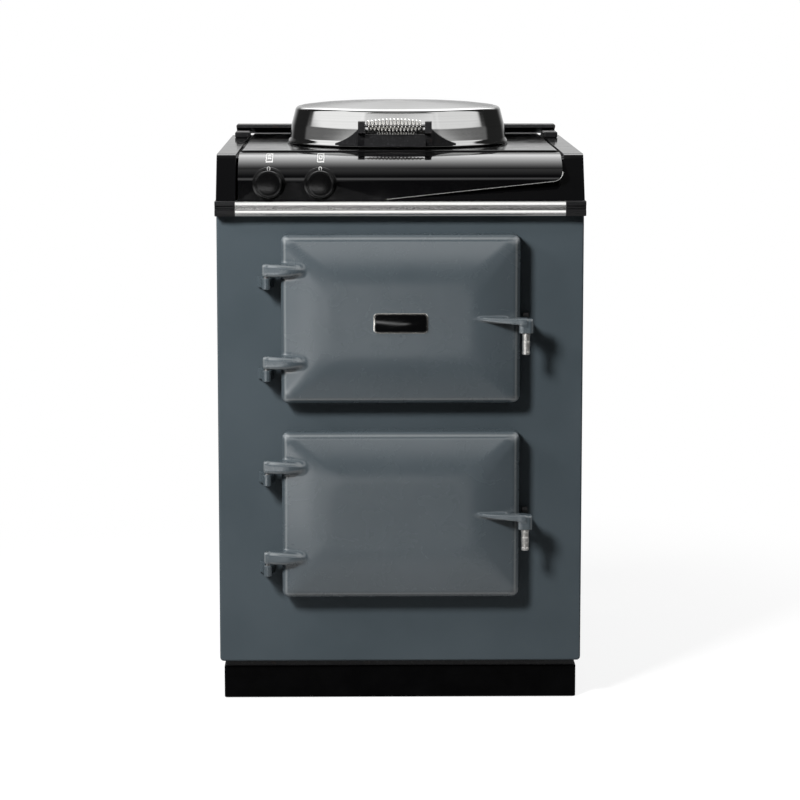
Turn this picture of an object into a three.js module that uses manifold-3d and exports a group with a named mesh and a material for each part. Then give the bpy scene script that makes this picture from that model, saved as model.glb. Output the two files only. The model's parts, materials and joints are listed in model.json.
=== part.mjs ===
// Free-standing cast iron range cooker: two ovens behind hinged cast doors, one round
// hotplate under a domed lid, two rotary controls. Millimetres, X to the right, Y to the
// back, Z up. Shapes are drawn with the face of the front plate at Y = 0 and the floor at
// Z = 0, and the finished group is moved back so that its box is centred on the origin.
import * as THREE from 'three';
import { mergeVertices } from 'three/addons/utils/BufferGeometryUtils.js';
import Module from 'manifold-3d';

const wasm = await Module();
wasm.setup();

// ---------------------------------------------------------------- driving dimensions

// Clearances
const seatGap = 0.3;            // between a piece and its seat where one is cut by the other
const turnGap = 0.4;            // round a pin or shaft that something turns on

// Base
const footRadius = 20;
const footPadEdge = 1;
const footPadHeight = 6;
const footStemRadius = 7;
const footStemStart = 12;       // top of the cone between the pad and the stem
const footHeadRadius = 13;      // of the head under the base plate
const footHeadHeight = 10;
const footSides = 12;
const footInset = 62;           // foot centre in from the sides and the front
const plinthHeight = 54;
const plinthFloorGap = 1;
const plinthInset = 6;          // in from each side of the cabinet
const plinthSetback = 18;
const plinthWall = 12;
const plinthCorner = 5;
const plinthLip = 4;            // ledge round the top of the plinth
const baseThickness = 13;
const baseSheet = 5;            // the base is a shallow tray turned upside down
const baseInset = 2.5;          // the base plate stands in from the plinth

// Cabinet
const bodyWidth = 597;
const bodyDepth = 600;          // face of the front plate to the back of the rear panel
const bodyHeight = 765;
const bodyCorner = 6;
const frontThickness = 14;
const frontChamfer = 2;
const panelThickness = 3;
const panelFlange = 28;
const flangeThickness = 5;
const rearThickness = 3;
const coreGap = 1;
const coreBackGap = 3;          // insulation to the rear panel

// Hob and controls above the front plate
const controlHeight = 73;       // cheek tops above the front plate
const cheekWidth = 32;
const cheekFront = 12;          // foot of the cheek ahead of the front plate
const cheekTopFront = 25;       // top of its sloping face behind the front plate
const cheekTopRoll = 8;         // height of the facet above the sloping face
const cheekTopFacet = 11;       // depth of that facet
const cheekRollShare = 0.4;     // middle of the facet, as shares of its depth and height
const cheekRollDrop = 0.25;
const cheekLedge = 14;          // shelf inside each cheek that carries the top plate
const ledgeThickness = 10;
const topPlateGap = 6.5;        // to each cheek
const topPlateFront = 78;
const topPlateThickness = 12;
const topPlateRise = 3;         // above the cheeks
const topPlateChamfer = 1.5;
const upstandSideInset = 8.5;   // in from each side of the cabinet
const upstandDepth = 36;
const upstandHeight = 18;
const upstandInset = 2;         // in from the back of the rear panel
const upstandRound = 6;
const upstandEndChamfer = 2;
const upstandFootLength = 78;
const upstandFootHeight = 10;
const upstandFootWidth = 26;
const upstandFootCorner = 6;

// Fascia
const fasciaGap = 4;            // to each cheek
const fasciaRoll = 30;          // height of its upright part
const fasciaTopDepth = 75;      // its top edge behind the front plate
const fasciaWall = 8;
const fasciaEdge = 6;
const fasciaSteps = 10;
const swooshEndHeight = 31;     // lower edge at the right end, above the front plate
const swooshStart = -25;        // where the lower edge begins to climb
const swooshStartHeight = 2;
const swooshRadius = 15;
const swooshGap = 0.6;

// Trim rail across the front
const trimHeight = 23.5;
const trimDepth = 25;
const trimOverhang = 1.5;       // past each side of the cabinet, caps included
const trimGroove = 3;
const trimEdge = 1.5;           // bevel along the top of the rail
const trimUndercut = 3;         // foot of the rail behind its face
const trimMiddleSetback = 1;    // middle band behind the other two
const trimCapChamfer = 0.4;
// Bands of the rail, as shares of its height from the top
const trimUpperEnd = 0.28;
const trimMiddleStart = 0.37;
const trimMiddleEnd = 0.47;
const trimLowerStart = 0.6;
const trimLowerEnd = 0.86;
const trimSlant = 0.03;         // taken by each slanted side of a groove
const trimCapLength = 33;
const trimCapProud = 0.5;
const trimBelowTop = 0.5;       // top of the rail below the top of the front plate

// Hotplate
const hotplateLand = 58;        // top plate left in front of the hotplate
const hotplateRise = 6;         // above the top plate
const hotplateGap = 4;
const hotplateFlange = 14;
const hotplateFlangeThickness = 11;
const hotplateSegments = 40;
const elementRod = 8;
const elementPocket = 10;
const hotplateElementInset = 52; // in from the edge of the hotplate

// Ovens
const upperCentre = 641.5;      // door and oven centres above the floor
const lowerCentre = 319.9;
const mouthWidth = 340;
const mouthHeight = 244;
const mouthCorner = 12;
const ovenDepth = 430;
const ovenWall = 8;
const ovenFlange = 12;
const runnerWidth = 7;
const runnerHeight = 6;
const shelfLevel = 6;           // above the middle of the oven
const runnerLevels = [-62, shelfLevel];
const shelfSlack = 2;
const shelfDepth = 396;
const shelfFrameRod = 6;
const shelfBarRod = 4.4;
const shelfBars = 11;
const ovenElementWidth = 220;
const ovenElementLength = 330;
const ovenElementStart = 60;
const runnerSetback = 16;       // front of the runners behind the front of the oven

// Doors
const doorWidth = 387.4;
const doorHeight = 275;
const doorGap = 6;              // casting to the front plate
const doorRim = 33;             // depth of the edge of the casting
const doorCrown = 11;           // middle of the face ahead of its edge
const doorShoulder = 8;
const doorCorner = 12;
const doorSlope = 76;           // width of the slopes round the face
const doorWall = 10;
const linerSheet = 3;
const plugClearance = 6;        // plug of the liner to the oven mouth, all round
const plugDepth = 10;           // into the oven mouth
const sealWidth = 5.4;
const sealSetback = 2;          // inner edge of the seal outside the oven mouth
const sealRound = 1.4;
const plugChamfer = 2;

// Door hinges
const pinSideways = 23.3;       // pin axis left of the edge of the door
const pinStandoff = 38;         // pin axis ahead of the front plate
const hingeOffsets = { top: 80, bottom: -70 };
const pinRadius = 3.5;
const barrelRadius = 7;
const barrelRound = 3;
const doorLugHeight = 22;
const doorLugReach = 67;
const doorLugBulge = 9;
const doorLugTaper = 0.18;      // share of its height lost at the far end
const doorLugCorner = 4;
const doorLugFlat = 1;          // back of the arm ahead of the back of the barrel
const doorLugBore = 16;
const lugGap = 1.4;
const fixedLugHeight = 18.5;
const fixedLugFoot = 26;
const fixedLugFootShift = -2;
const fixedLugFootDepth = 5;    // thickness of the foot on the front plate
const fixedLugLeftCurve = 9;    // depth at which each side sweeps into the lug
const fixedLugRightCurve = 12;
const pinSeatFloor = 3;         // metal under the pin
const collarRadius = 5.2;
const collarThickness = 1;

// Door handles
const handleTop = 4;            // top of the arm above the middle of the door
const handleArmHeight = 11;
const handleArmTipShare = 0.7;  // height of its tip, as a share of that
const handleArmTipDepth = 6;
const handleArmTipProud = 2;    // sunk into the face of the door
const handleArmCorner = 2.4;
const handleTip = 72;           // tip of the arm in from the right edge of the door
const handleReach = 20;         // end of the arm past that edge
const handleFront = 66;         // front of the arm ahead of the front plate
const bossWidth = 23;
const bossDepth = 22;
const bossHeight = 24;
const bossCorner = 6;
const bossFootEdge = 1;
const bossRound = 4;
const gripRadius = 5.3;
const gripLength = 35;
const gripBand = 4;             // collar at each end
const gripWaist = 0.5;          // bar inside its collars
const gripSlant = 1;
const gripSpigotRadius = 3.2;
const gripSpigotLength = 12;
const keeperWidth = 10;
const keeperHeight = 30;
const keeperNose = 8;
const keeperFlange = 4;
const keeperChamfer = 0.8;
const keeperBevel = 2;
const keeperGap = 1;            // its nose behind the boss of the handle
const keeperSpace = 5.5;        // keeper clear of the edge of the door

// Controls
const knobHeight = 27.6;        // knob axis above the front plate
const knobOffsets = { left: 50.1, right: 133.3 }; // in from the left end of the fascia
const knobRadius = 22.5;
const knobSkirtRadius = 27;
const knobDepth = 24;
const knobSkirtDepth = 4;
const knobSkirtEdge = 1;
const knobTaper = 0.4;          // of its radius, each way from the middle
const knobRound = 3;
const knobGap = 0.8;
const shaftRadius = 3;
const shaftLength = 14;         // part of the shaft inside the knob
const switchSize = 34;
const switchDepth = 26;
const bushRadius = 5;

// Lid
const lidOverhang = 18;         // past the edge of the hotplate
const lidShoulderInset = 14;    // insets from the foot of the lid
const lidWaistInset = 7;
const lidSkirtInset = 4;
const lidBottomGap = 1;         // over the top plate
const lidSkirtHeight = 9;       // heights above the rim of the lid
const lidWaistHeight = 31;
const lidShoulderHeight = 58;
const lidCrownHeight = 71;
const lidRimRound = 1.5;
const lidRimBand = 3.5;         // top of the beaded rim above its foot
const lidRimStep = 0.5;
const lidCreaseDrop = 3;        // small facet where the side turns into the crown
const lidCrownSlopes = [        // in from the shoulder, and above it
  [12, 5.5],
  [70, 11],
];
const lidSheet = 3;
const lidSegments = 44;
const lidLinerClearance = 5;    // liner wall to the hotplate
const lidLinerLift = 12;        // liner above the hotplate
const lidLinerThickness = 3;
const lidLinerBevel = 3;
const lidLinerRimDrop = 5;      // foot and top of its rim below the inner edge of the side
const lidLinerRimTop = 2;
const lidHingeReach = 17;       // hinge axis behind the edge of the lid
const lidAxisRise = 17;         // hinge axis above the top plate
const lidKnuckleRadius = 8;
const lidKnuckleLength = 56;
const lidPinRadius = 4;
const lidPinProud = 5;          // pin past each ear of the hinge base
const lidEarThickness = 12;
const lidEarRadius = 10;
const lidBaseThickness = 5;
const lidBaseDepth = 38;
const lidBaseGap = 19;          // hinge base to the upstand
const lidArmWidth = 50;
const lidArmHeight = 20;
const lidArmIntoLid = 14;       // before the lid's own space is cut away

// Lid handle
const handleTurn = THREE.MathUtils.degToRad(-2);
const coilReach = 33;           // coil axis ahead of the edge of the lid
const coilAxisRise = 39;        // coil axis above the rim of the lid
const coilWire = 3.5;
const coilTurns = 15;
const coilPitch = 6.1;
const coilMiddleRadius = 10.6;  // to the middle of the wire
const coilEndRadius = 6.8;
const coilStepsPerTurn = 8;
const coilSides = 5;
const handleRodRadius = 3;
const lugWidth = 11;
const lugTopRise = 7;           // top of the lug above the coil axis
const lugDrop = 12;             // underside of the lug below the coil axis
const lugFront = 9;             // front of the lug ahead of the coil axis
const bracketFlare = 40;        // spread of each arm where it meets the lid
const bracketFoot = 4;          // underside of the bracket above the rim of the lid
const bracketIntoLid = 24;      // before the lid's own space is cut away
const bracketSpread = 14;       // how far behind the face of the lid an arm is widest
const bracketTopDrop = 16;      // top of an arm at the lid, below the top of the lug
const bracketFaceDrop = 13;     // from the front: arm beside the lug, below the top of the lug
const bracketFaceEdge = 3;      // and at its outer end, above its underside
const bracketFaceSag = 5;       // hollow of the slope between them
const bracketWebRise = 8;       // underside of an arm where it leaves the lug
const lugRound = 3;
const crossPlateHeight = 20;
const crossPlateThickness = 5;
const crossPlateBehind = 7;     // behind the coil axis

// Terminal box in the rear panel
const terminalInset = 131.5;    // its middle in from the left side of the cabinet
const terminalHeight = 163;     // middle of its recess above the floor
const recessSize = 86;
const recessDepth = 40;
const recessSheet = 2;          // walls of the recess pan
const recessCorner = 1;
const terminalWidth = 80;
const terminalBoxHeight = 52;
const terminalBoxDepth = 32;
const terminalBoxGap = 1;       // to the top of the recess
const glandRadius = 10;
const glandBore = 6;
const glandLength = 16;
const glandEdge = 2;

// ---------------------------------------------------------------- derived levels

const halfBody = bodyWidth / 2;
const plinthWidth = bodyWidth - 2 * plinthInset;
const baseTop = plinthHeight + baseThickness;
const frontTop = baseTop + bodyHeight;
const hobTop = frontTop + controlHeight;
const plateTop = hobTop + topPlateRise;
const plateBottom = plateTop - topPlateThickness;
const rearInner = bodyDepth - rearThickness;
const panelInner = halfBody - panelThickness;
const cheekInner = halfBody - cheekWidth;
const fasciaHalf = cheekInner - fasciaGap;
const topPlateWidth = 2 * (cheekInner - topPlateGap);
const trimLength = bodyWidth + 2 * (trimOverhang - trimCapLength);
const upstandWidth = bodyWidth - 2 * upstandSideInset;
const upstandFront = bodyDepth - upstandInset - upstandDepth;
const lidAxisY = upstandFront - lidBaseGap - lidBaseDepth + lidEarRadius;
const hotplateWidth = lidAxisY - lidHingeReach - lidOverhang - hotplateLand - topPlateFront;
const hotplateRadius = hotplateWidth / 2;
const hotplateElementRadius = hotplateRadius - hotplateElementInset;
const lidRadius = hotplateRadius + lidOverhang;
const lidShoulderRadius = lidRadius - lidShoulderInset;
const lidWaistRadius = lidRadius - lidWaistInset;
const lidSkirtRadius = lidRadius - lidSkirtInset;
const lidAxisBehind = lidRadius + lidHingeReach;
const coilAxisReach = lidRadius + coilReach;
const hotplateCentre = lidAxisY - lidAxisBehind;
const terminalCentreX = terminalInset - halfBody;
const knobCentres = {
  left: knobOffsets.left - fasciaHalf,
  right: knobOffsets.right - fasciaHalf,
};
const hotplateTop = plateTop + hotplateRise;
const lidRim = plateTop + lidBottomGap;
const lidLinerRadius = hotplateRadius + lidLinerClearance;
const trimTop = frontTop - trimBelowTop;
const pinX = -doorWidth / 2 - pinSideways;
const casingTop = plateBottom - hotplateFlangeThickness - seatGap;

// ---------------------------------------------------------------- shape helpers

const axis = (x, y, z) => new THREE.Vector3(x, y, z);
// Shapes drawn as (x, z), extruded towards the front
const towardsFront = new THREE.Matrix4().makeBasis(axis(1, 0, 0), axis(0, 0, 1), axis(0, -1, 0));
// Shapes drawn as (y, z), extruded to the right
const towardsRight = new THREE.Matrix4().makeBasis(axis(0, 1, 0), axis(0, 0, 1), axis(1, 0, 0));
// Shapes drawn as (x, y), extruded upwards
const upwards = new THREE.Matrix4();

function polygon(points) {
  return new THREE.Shape(points.map(([x, y]) => new THREE.Vector2(x, y)));
}

function roundedRectangle(width, height, radius, x = 0, y = 0) {
  const right = x + width / 2 - radius;
  const left = x - width / 2 + radius;
  const top = y + height / 2 - radius;
  const bottom = y - height / 2 + radius;
  const path = new THREE.Shape();
  path.absarc(right, bottom, radius, -Math.PI / 2, 0);
  path.absarc(right, top, radius, 0, Math.PI / 2);
  path.absarc(left, top, radius, Math.PI / 2, Math.PI);
  path.absarc(left, bottom, radius, Math.PI, 1.5 * Math.PI);
  path.closePath();
  return path;
}

function prism(shape, depth, basis, curveSegments = 2) {
  const geometry = new THREE.ExtrudeGeometry(shape, { depth, bevelEnabled: false, curveSegments });
  return geometry.applyMatrix4(basis);
}

// The same outline and depth as prism, with both end edges chamfered
function chamferedPrism(shape, depth, chamfer, basis, curveSegments = 2) {
  const geometry = new THREE.ExtrudeGeometry(shape, {
    depth: depth - 2 * chamfer,
    bevelThickness: chamfer,
    bevelSize: chamfer,
    bevelOffset: -chamfer,
    bevelSegments: 1,
    curveSegments,
  });
  return geometry.translate(0, 0, chamfer).applyMatrix4(basis);
}

function block(left, right, front, back, bottom, top) {
  const geometry = new THREE.BoxGeometry(right - left, back - front, top - bottom);
  return geometry.translate((left + right) / 2, (front + back) / 2, (bottom + top) / 2);
}

// A closed profile of [radius, height] turned round the Z axis
function turned(profile, segments = 32) {
  const points = profile.map(([radius, height]) => new THREE.Vector2(radius, height));
  return new THREE.LatheGeometry(points, segments).rotateX(Math.PI / 2);
}

// The same, turned round an axis that points to the front
function turnedToFront(profile, segments = 32) {
  return turned(profile, segments).rotateX(Math.PI / 2);
}

// Profile points of the rounded top edge of a turned piece
function roundedRim(radius, top, round, steps = 2) {
  const points = [];
  for (let step = 0; step <= steps; step += 1) {
    const turn = (step * Math.PI) / 2 / steps;
    points.push([radius - round * (1 - Math.cos(turn)), top - round * (1 - Math.sin(turn))]);
  }
  return points;
}

function rod(radius, from, to, sides = 12) {
  const length = from.distanceTo(to);
  const geometry = new THREE.CylinderGeometry(radius, radius, length, sides);
  const turn = new THREE.Quaternion().setFromUnitVectors(
    axis(0, 1, 0),
    to.clone().sub(from).normalize(),
  );
  const middle = from.clone().add(to).multiplyScalar(0.5);
  return geometry.applyQuaternion(turn).translate(middle.x, middle.y, middle.z);
}

// Closed skin over a row of loops with equal counts, each anticlockwise seen from the last one
function loft(loops) {
  const count = loops[0].length;
  const centreOf = (loop) => {
    const sum = loop.reduce((total, point) => total.add(point), axis(0, 0, 0));
    return sum.divideScalar(count);
  };
  const points = [...loops.flat(), centreOf(loops[0]), centreOf(loops.at(-1))];
  const startCentre = points.length - 2;
  const endCentre = points.length - 1;
  const lastLoop = (loops.length - 1) * count;
  const faces = [];
  for (let side = 0; side < count; side += 1) {
    const next = (side + 1) % count;
    faces.push(startCentre, next, side);
    faces.push(endCentre, lastLoop + side, lastLoop + next);
    for (let start = 0; start < lastLoop; start += count) {
      faces.push(start + side, start + next, start + count + next);
      faces.push(start + side, start + count + next, start + count + side);
    }
  }
  const geometry = new THREE.BufferGeometry().setFromPoints(points);
  geometry.setIndex(faces);
  geometry.computeVertexNormals();
  return geometry;
}

// Round bar through stations that each have a centre and a direction across the bar
function tube(stations, radius, sides) {
  const centres = stations.map((station) => station.centre);
  const loops = stations.map(({ centre, outward }, place) => {
    const before = centres[Math.max(place - 1, 0)];
    const after = centres[Math.min(place + 1, centres.length - 1)];
    const along = after.clone().sub(before).normalize();
    const side = along.cross(outward).normalize();
    const loop = [];
    for (let corner = 0; corner < sides; corner += 1) {
      const turn = (corner * 2 * Math.PI) / sides;
      const point = centre.clone();
      point.addScaledVector(outward, radius * Math.cos(turn));
      point.addScaledVector(side, radius * Math.sin(turn));
      loop.push(point);
    }
    return loop;
  });
  return loft(loops);
}

// Points of a rounded rectangle, anticlockwise, handed to place(u, v)
function roundedLoop(width, height, radius, place, cornerSteps = 3) {
  const shape = roundedRectangle(width, height, radius);
  const loop = [];
  for (const corner of shape.curves.filter((curve) => curve.isEllipseCurve)) {
    for (const point of corner.getPoints(cornerSteps)) {
      loop.push(place(point.x, point.y));
    }
  }
  return loop;
}

function toSolid(geometry) {
  const bare = geometry.clone();
  bare.deleteAttribute('normal');
  bare.deleteAttribute('uv');
  const welded = mergeVertices(bare, 1e-4);
  const corners = welded.index.array;
  const faces = [];
  for (let face = 0; face < corners.length; face += 3) {
    const [a, b, c] = corners.slice(face, face + 3);
    if (a !== b && b !== c && c !== a) {
      faces.push(a, b, c);
    }
  }
  return new wasm.Manifold(
    new wasm.Mesh({
      numProp: 3,
      vertProperties: welded.attributes.position.array,
      triVerts: Uint32Array.from(faces),
    }),
  );
}

function toGeometry(solid) {
  const { vertProperties, triVerts } = solid.getMesh();
  const geometry = new THREE.BufferGeometry();
  geometry.setAttribute('position', new THREE.BufferAttribute(vertProperties, 3));
  geometry.setIndex(new THREE.BufferAttribute(triVerts, 1));
  geometry.computeVertexNormals();
  return geometry;
}

function join(...pieces) {
  return toGeometry(pieces.map(toSolid).reduce((whole, piece) => whole.add(piece)));
}

function cut(piece, ...tools) {
  return toGeometry(tools.map(toSolid).reduce((rest, tool) => rest.subtract(tool), toSolid(piece)));
}

function common(first, second) {
  return toGeometry(toSolid(first).intersect(toSolid(second)));
}

// ---------------------------------------------------------------- materials

function finish(color, roughness, metalness) {
  return new THREE.MeshStandardMaterial({ color, roughness, metalness });
}

const slateEnamel = finish(0x50585d, 0.22, 0);
const blackEnamel = finish(0x0b0b0d, 0.15, 0);
const blackIron = finish(0x17181a, 0.45, 0.3);
const blackPlastic = finish(0x111112, 0.35, 0);
const stainless = finish(0xc6c5c2, 0.25, 1);
const polished = finish(0xdadada, 0.12, 1);
const pinSteel = finish(0x8c8c8c, 0.35, 1);
const bareIron = finish(0x3a3a3b, 0.6, 0.6);
const ovenEnamel = finish(0x24262a, 0.4, 0);
const aluminised = finish(0xa8a9ab, 0.45, 0.9);
const plinthPaint = finish(0x070708, 0.3, 0);
const ropeSeal = finish(0x57534b, 0.95, 0);
const mineralWool = finish(0xb7ab8a, 0.95, 0);
const galvanised = finish(0x9a9da0, 0.5, 0.8);

const cooker = new THREE.Group();

function add(parent, name, geometry, material) {
  const mesh = new THREE.Mesh(geometry, material);
  mesh.name = name;
  parent.add(mesh);
  return mesh;
}

// ---------------------------------------------------------------- base

function addBase() {
  const front = plinthSetback;
  const depth = rearInner - front;
  const middle = front + depth / 2;
  const outer = roundedRectangle(plinthWidth, depth, plinthCorner, 0, middle);
  const openBack = front + plinthWall;
  const inside = block(
    -plinthWidth / 2 + plinthWall,
    plinthWidth / 2 - plinthWall,
    openBack,
    bodyDepth,
    0,
    plinthHeight + 1,
  );
  const skirt = prism(outer, plinthHeight - plinthFloorGap, upwards);
  skirt.translate(0, 0, plinthFloorGap);
  add(cooker, 'plinth', cut(skirt, inside), plinthPaint);

  const baseWidth = plinthWidth - 2 * baseInset;
  const baseShape = roundedRectangle(
    baseWidth,
    depth - 2 * plinthLip,
    plinthCorner,
    0,
    middle,
  );
  const base = prism(baseShape, baseThickness, upwards).translate(0, 0, plinthHeight);
  const underside = baseTop - baseSheet;
  const trayInside = block(
    -baseWidth / 2 + baseSheet,
    baseWidth / 2 - baseSheet,
    front + plinthLip + baseSheet,
    rearInner - plinthLip - baseSheet,
    plinthHeight - 1,
    underside,
  );
  add(cooker, 'base_plate', cut(base, trayInside), blackIron);

  const footProfile = [
    [0, 0],
    [footRadius - footPadEdge, 0],
    [footRadius, footPadEdge],
    [footRadius, footPadHeight],
    [footStemRadius, footStemStart],
    [footStemRadius, underside - footHeadHeight],
    [footHeadRadius, underside - footHeadHeight],
    [footHeadRadius, underside],
    [0, underside],
  ];
  const footX = plinthWidth / 2 - footInset;
  for (const [side, x] of Object.entries({ left: -footX, right: footX })) {
    for (const [end, y] of Object.entries({ front: front + footInset, rear: rearInner - footInset })) {
      const foot = turned(footProfile, footSides).translate(x, y, 0);
      add(cooker, `foot_${end}_${side}`, foot, galvanised);
    }
  }
}

// ---------------------------------------------------------------- cabinet

const ovenCentres = { roasting: upperCentre, simmering: lowerCentre };

// Space of the recess in the rear panel, grown sideways and drawn back from its floor
function recessBlock(grow, floor) {
  const half = recessSize / 2 + grow;
  return block(
    terminalCentreX - half,
    terminalCentreX + half,
    bodyDepth - recessDepth + floor,
    bodyDepth - (grow > 0 ? rearThickness / 2 : -1),
    terminalHeight - half,
    terminalHeight + half,
  );
}

function addCabinet() {
  const plateMiddle = baseTop + bodyHeight / 2;
  const plateShape = roundedRectangle(bodyWidth, bodyHeight, bodyCorner, 0, plateMiddle);
  for (const centre of Object.values(ovenCentres)) {
    plateShape.holes.push(roundedRectangle(mouthWidth, mouthHeight, mouthCorner, 0, centre));
  }
  const plate = chamferedPrism(plateShape, frontThickness, frontChamfer, towardsFront);
  add(cooker, 'front_plate', plate.translate(0, frontThickness, 0), slateEnamel);

  for (const [side, sign] of Object.entries({ left: -1, right: 1 })) {
    const outer = sign * halfBody;
    const inner = sign * panelInner;
    const lip = sign * (halfBody - panelFlange);
    const section = polygon([
      [outer, baseTop],
      [outer, frontTop],
      [lip, frontTop],
      [lip, frontTop - flangeThickness],
      [inner, frontTop - flangeThickness],
      [inner, baseTop + flangeThickness],
      [lip, baseTop + flangeThickness],
      [lip, baseTop],
    ]);
    const panel = prism(section, rearInner - frontThickness, towardsFront).translate(0, rearInner, 0);
    add(cooker, `${side}_side_panel`, panel, slateEnamel);
  }

  const rearShape = roundedRectangle(
    bodyWidth,
    hobTop - baseTop,
    bodyCorner,
    0,
    (baseTop + hobTop) / 2,
  );
  rearShape.holes.push(
    roundedRectangle(recessSize, recessSize, recessCorner, terminalCentreX, terminalHeight),
  );
  const rear = prism(rearShape, rearThickness, towardsFront).translate(0, bodyDepth, 0);
  const pan = cut(recessBlock(recessSheet, 0), recessBlock(0, recessSheet));
  add(cooker, 'rear_panel', join(rear, pan), galvanised);
}

function addInsulation() {
  const coreFront = frontThickness + flangeThickness;
  const coreBack = rearInner - coreBackGap;
  const coreBottom = baseTop + flangeThickness;
  const coreTop = frontTop - flangeThickness;
  const coreHalf = panelInner - coreGap;
  const outerRadius = hotplateRadius + hotplateFlange;
  const lower = block(-coreHalf, coreHalf, coreFront, coreBack, coreBottom, coreTop);
  const upper = rod(
    outerRadius,
    axis(0, hotplateCentre, coreTop - 1),
    axis(0, hotplateCentre, casingTop),
    hotplateSegments,
  );
  const pockets = Object.values(ovenCentres).flatMap((centre) => {
    const halfWidth = mouthWidth / 2 + ovenWall + seatGap;
    const halfHeight = mouthHeight / 2 + ovenWall + seatGap;
    const ovenBack = frontThickness + ovenDepth;
    const elementHalf = ovenElementWidth / 2 + elementPocket;
    return [
      block(-halfWidth, halfWidth, 0, ovenBack + seatGap, centre - halfHeight, centre + halfHeight),
      block(
        -elementHalf,
        elementHalf,
        ovenElementStart - elementPocket,
        ovenElementStart + ovenElementLength + elementPocket,
        centre - halfHeight - elementPocket,
        centre,
      ),
    ];
  });
  const elementWell = rod(
    hotplateElementRadius + elementPocket,
    axis(0, hotplateCentre, casingTop - elementPocket),
    axis(0, hotplateCentre, casingTop + 1),
    hotplateSegments,
  );
  const panSpace = recessBlock(recessSheet + coreGap, -coreGap);
  const core = cut(join(lower, upper), ...pockets, elementWell, panSpace);
  add(cooker, 'insulation_core', core, mineralWool);
}

// ---------------------------------------------------------------- ovens

// U-shaped heating rod lying flat, its bend towards the front
function hairpin(width, length, start, height) {
  const side = width / 2;
  const route = new THREE.Path();
  route.moveTo(-side, start + length);
  route.absarc(0, start + side, side, Math.PI, 2 * Math.PI);
  route.lineTo(side, start + length);
  const stations = route.getPoints(8).map((point) => ({
    centre: axis(point.x, point.y, height),
    outward: axis(0, 0, 1),
  }));
  return tube(stations, elementRod / 2, 6);
}

function gridShelf(level) {
  const half = mouthWidth / 2 - shelfSlack - shelfFrameRod / 2;
  const back = frontThickness + ovenDepth - ovenWall - shelfSlack - shelfFrameRod / 2;
  const front = back - shelfDepth;
  const height = level + shelfFrameRod / 2;
  const sides = [-half, half].map((x) =>
    rod(shelfFrameRod / 2, axis(x, front, height), axis(x, back, height), 8),
  );
  const ends = [front, back].map((y) =>
    rod(shelfFrameRod / 2, axis(-half, y, height), axis(half, y, height), 8),
  );
  const bars = [];
  for (let bar = 1; bar <= shelfBars; bar += 1) {
    const x = -half + (2 * half * bar) / (shelfBars + 1);
    bars.push(rod(shelfBarRod / 2, axis(x, front, height), axis(x, back, height), 6));
  }
  return join(...sides, ...ends, ...bars);
}

function addOven(name, centre) {
  const halfWidth = mouthWidth / 2;
  const halfHeight = mouthHeight / 2;
  const front = frontThickness;
  const back = front + ovenDepth;
  const bottom = centre - halfHeight;
  const top = centre + halfHeight;
  const casting = block(
    -halfWidth - ovenWall,
    halfWidth + ovenWall,
    front,
    back,
    bottom - ovenWall,
    top + ovenWall,
  );
  const flange = block(
    -halfWidth - ovenWall - ovenFlange,
    halfWidth + ovenWall + ovenFlange,
    front,
    front + flangeThickness - seatGap,
    bottom - ovenWall - ovenFlange,
    top + ovenWall + ovenFlange,
  );
  const cavity = block(-halfWidth, halfWidth, front - 1, back - ovenWall, bottom, top);
  const runners = runnerLevels.flatMap((level) =>
    [-1, 1].map((sign) => {
      const wall = sign * (halfWidth + 1);
      const edge = sign * (halfWidth - runnerWidth);
      const runnerTop = centre + level;
      return block(
        Math.min(wall, edge),
        Math.max(wall, edge),
        front + runnerSetback,
        back - 1,
        runnerTop - runnerHeight,
        runnerTop,
      );
    }),
  );
  const shell = join(cut(join(casting, flange), cavity), ...runners);
  add(cooker, `${name}_oven`, shell, ovenEnamel);
  add(cooker, `${name}_shelf`, gridShelf(centre + shelfLevel + seatGap), stainless);
  const elementHeight = bottom - ovenWall - seatGap - elementRod / 2;
  const element = hairpin(ovenElementWidth, ovenElementLength, ovenElementStart, elementHeight);
  add(cooker, `${name}_element`, element, bareIron);
}

// ---------------------------------------------------------------- hob

// Depth of the sloping cheek face at a height above the front plate
function slopeAt(rise) {
  const slopeHeight = controlHeight - cheekTopRoll;
  return -cheekFront + ((cheekTopFront + cheekFront) * rise) / slopeHeight;
}

// Outline of the fascia seen from the front, grown by a gap
function fasciaOutline(gap) {
  const side = fasciaHalf;
  const climb = (swooshEndHeight - swooshStartHeight) / (side - swooshRadius - swooshStart);
  const bendCentre = frontTop + swooshEndHeight + swooshRadius;
  const outline = new THREE.Shape();
  outline.moveTo(-side - gap, frontTop - gap);
  outline.lineTo(swooshStart, frontTop - gap);
  outline.lineTo(swooshStart, frontTop + swooshStartHeight - gap);
  outline.absarc(
    side - swooshRadius,
    bendCentre,
    swooshRadius + gap,
    -Math.PI / 2 + Math.atan(climb),
    0,
  );
  outline.lineTo(side + gap, hobTop + gap + 1);
  outline.lineTo(-side - gap, hobTop + gap + 1);
  outline.closePath();
  return outline;
}

function fasciaSection() {
  const rollHeight = controlHeight - fasciaRoll;
  const rollDepth = fasciaTopDepth + cheekFront;
  const innerTop = controlHeight - fasciaEdge;
  const points = [[-cheekFront, frontTop]];
  for (let step = 0; step <= fasciaSteps; step += 1) {
    const turn = (step * Math.PI) / 2 / fasciaSteps;
    points.push([
      fasciaTopDepth - rollDepth * Math.cos(turn),
      frontTop + fasciaRoll + rollHeight * Math.sin(turn),
    ]);
  }
  points.push(
    [fasciaTopDepth, hobTop - fasciaEdge],
    [slopeAt(innerTop) + fasciaWall, hobTop - fasciaEdge],
    [slopeAt(fasciaEdge) + fasciaWall, frontTop + fasciaEdge],
    [frontThickness, frontTop + fasciaEdge],
    [frontThickness, frontTop],
  );
  return polygon(points);
}

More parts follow.
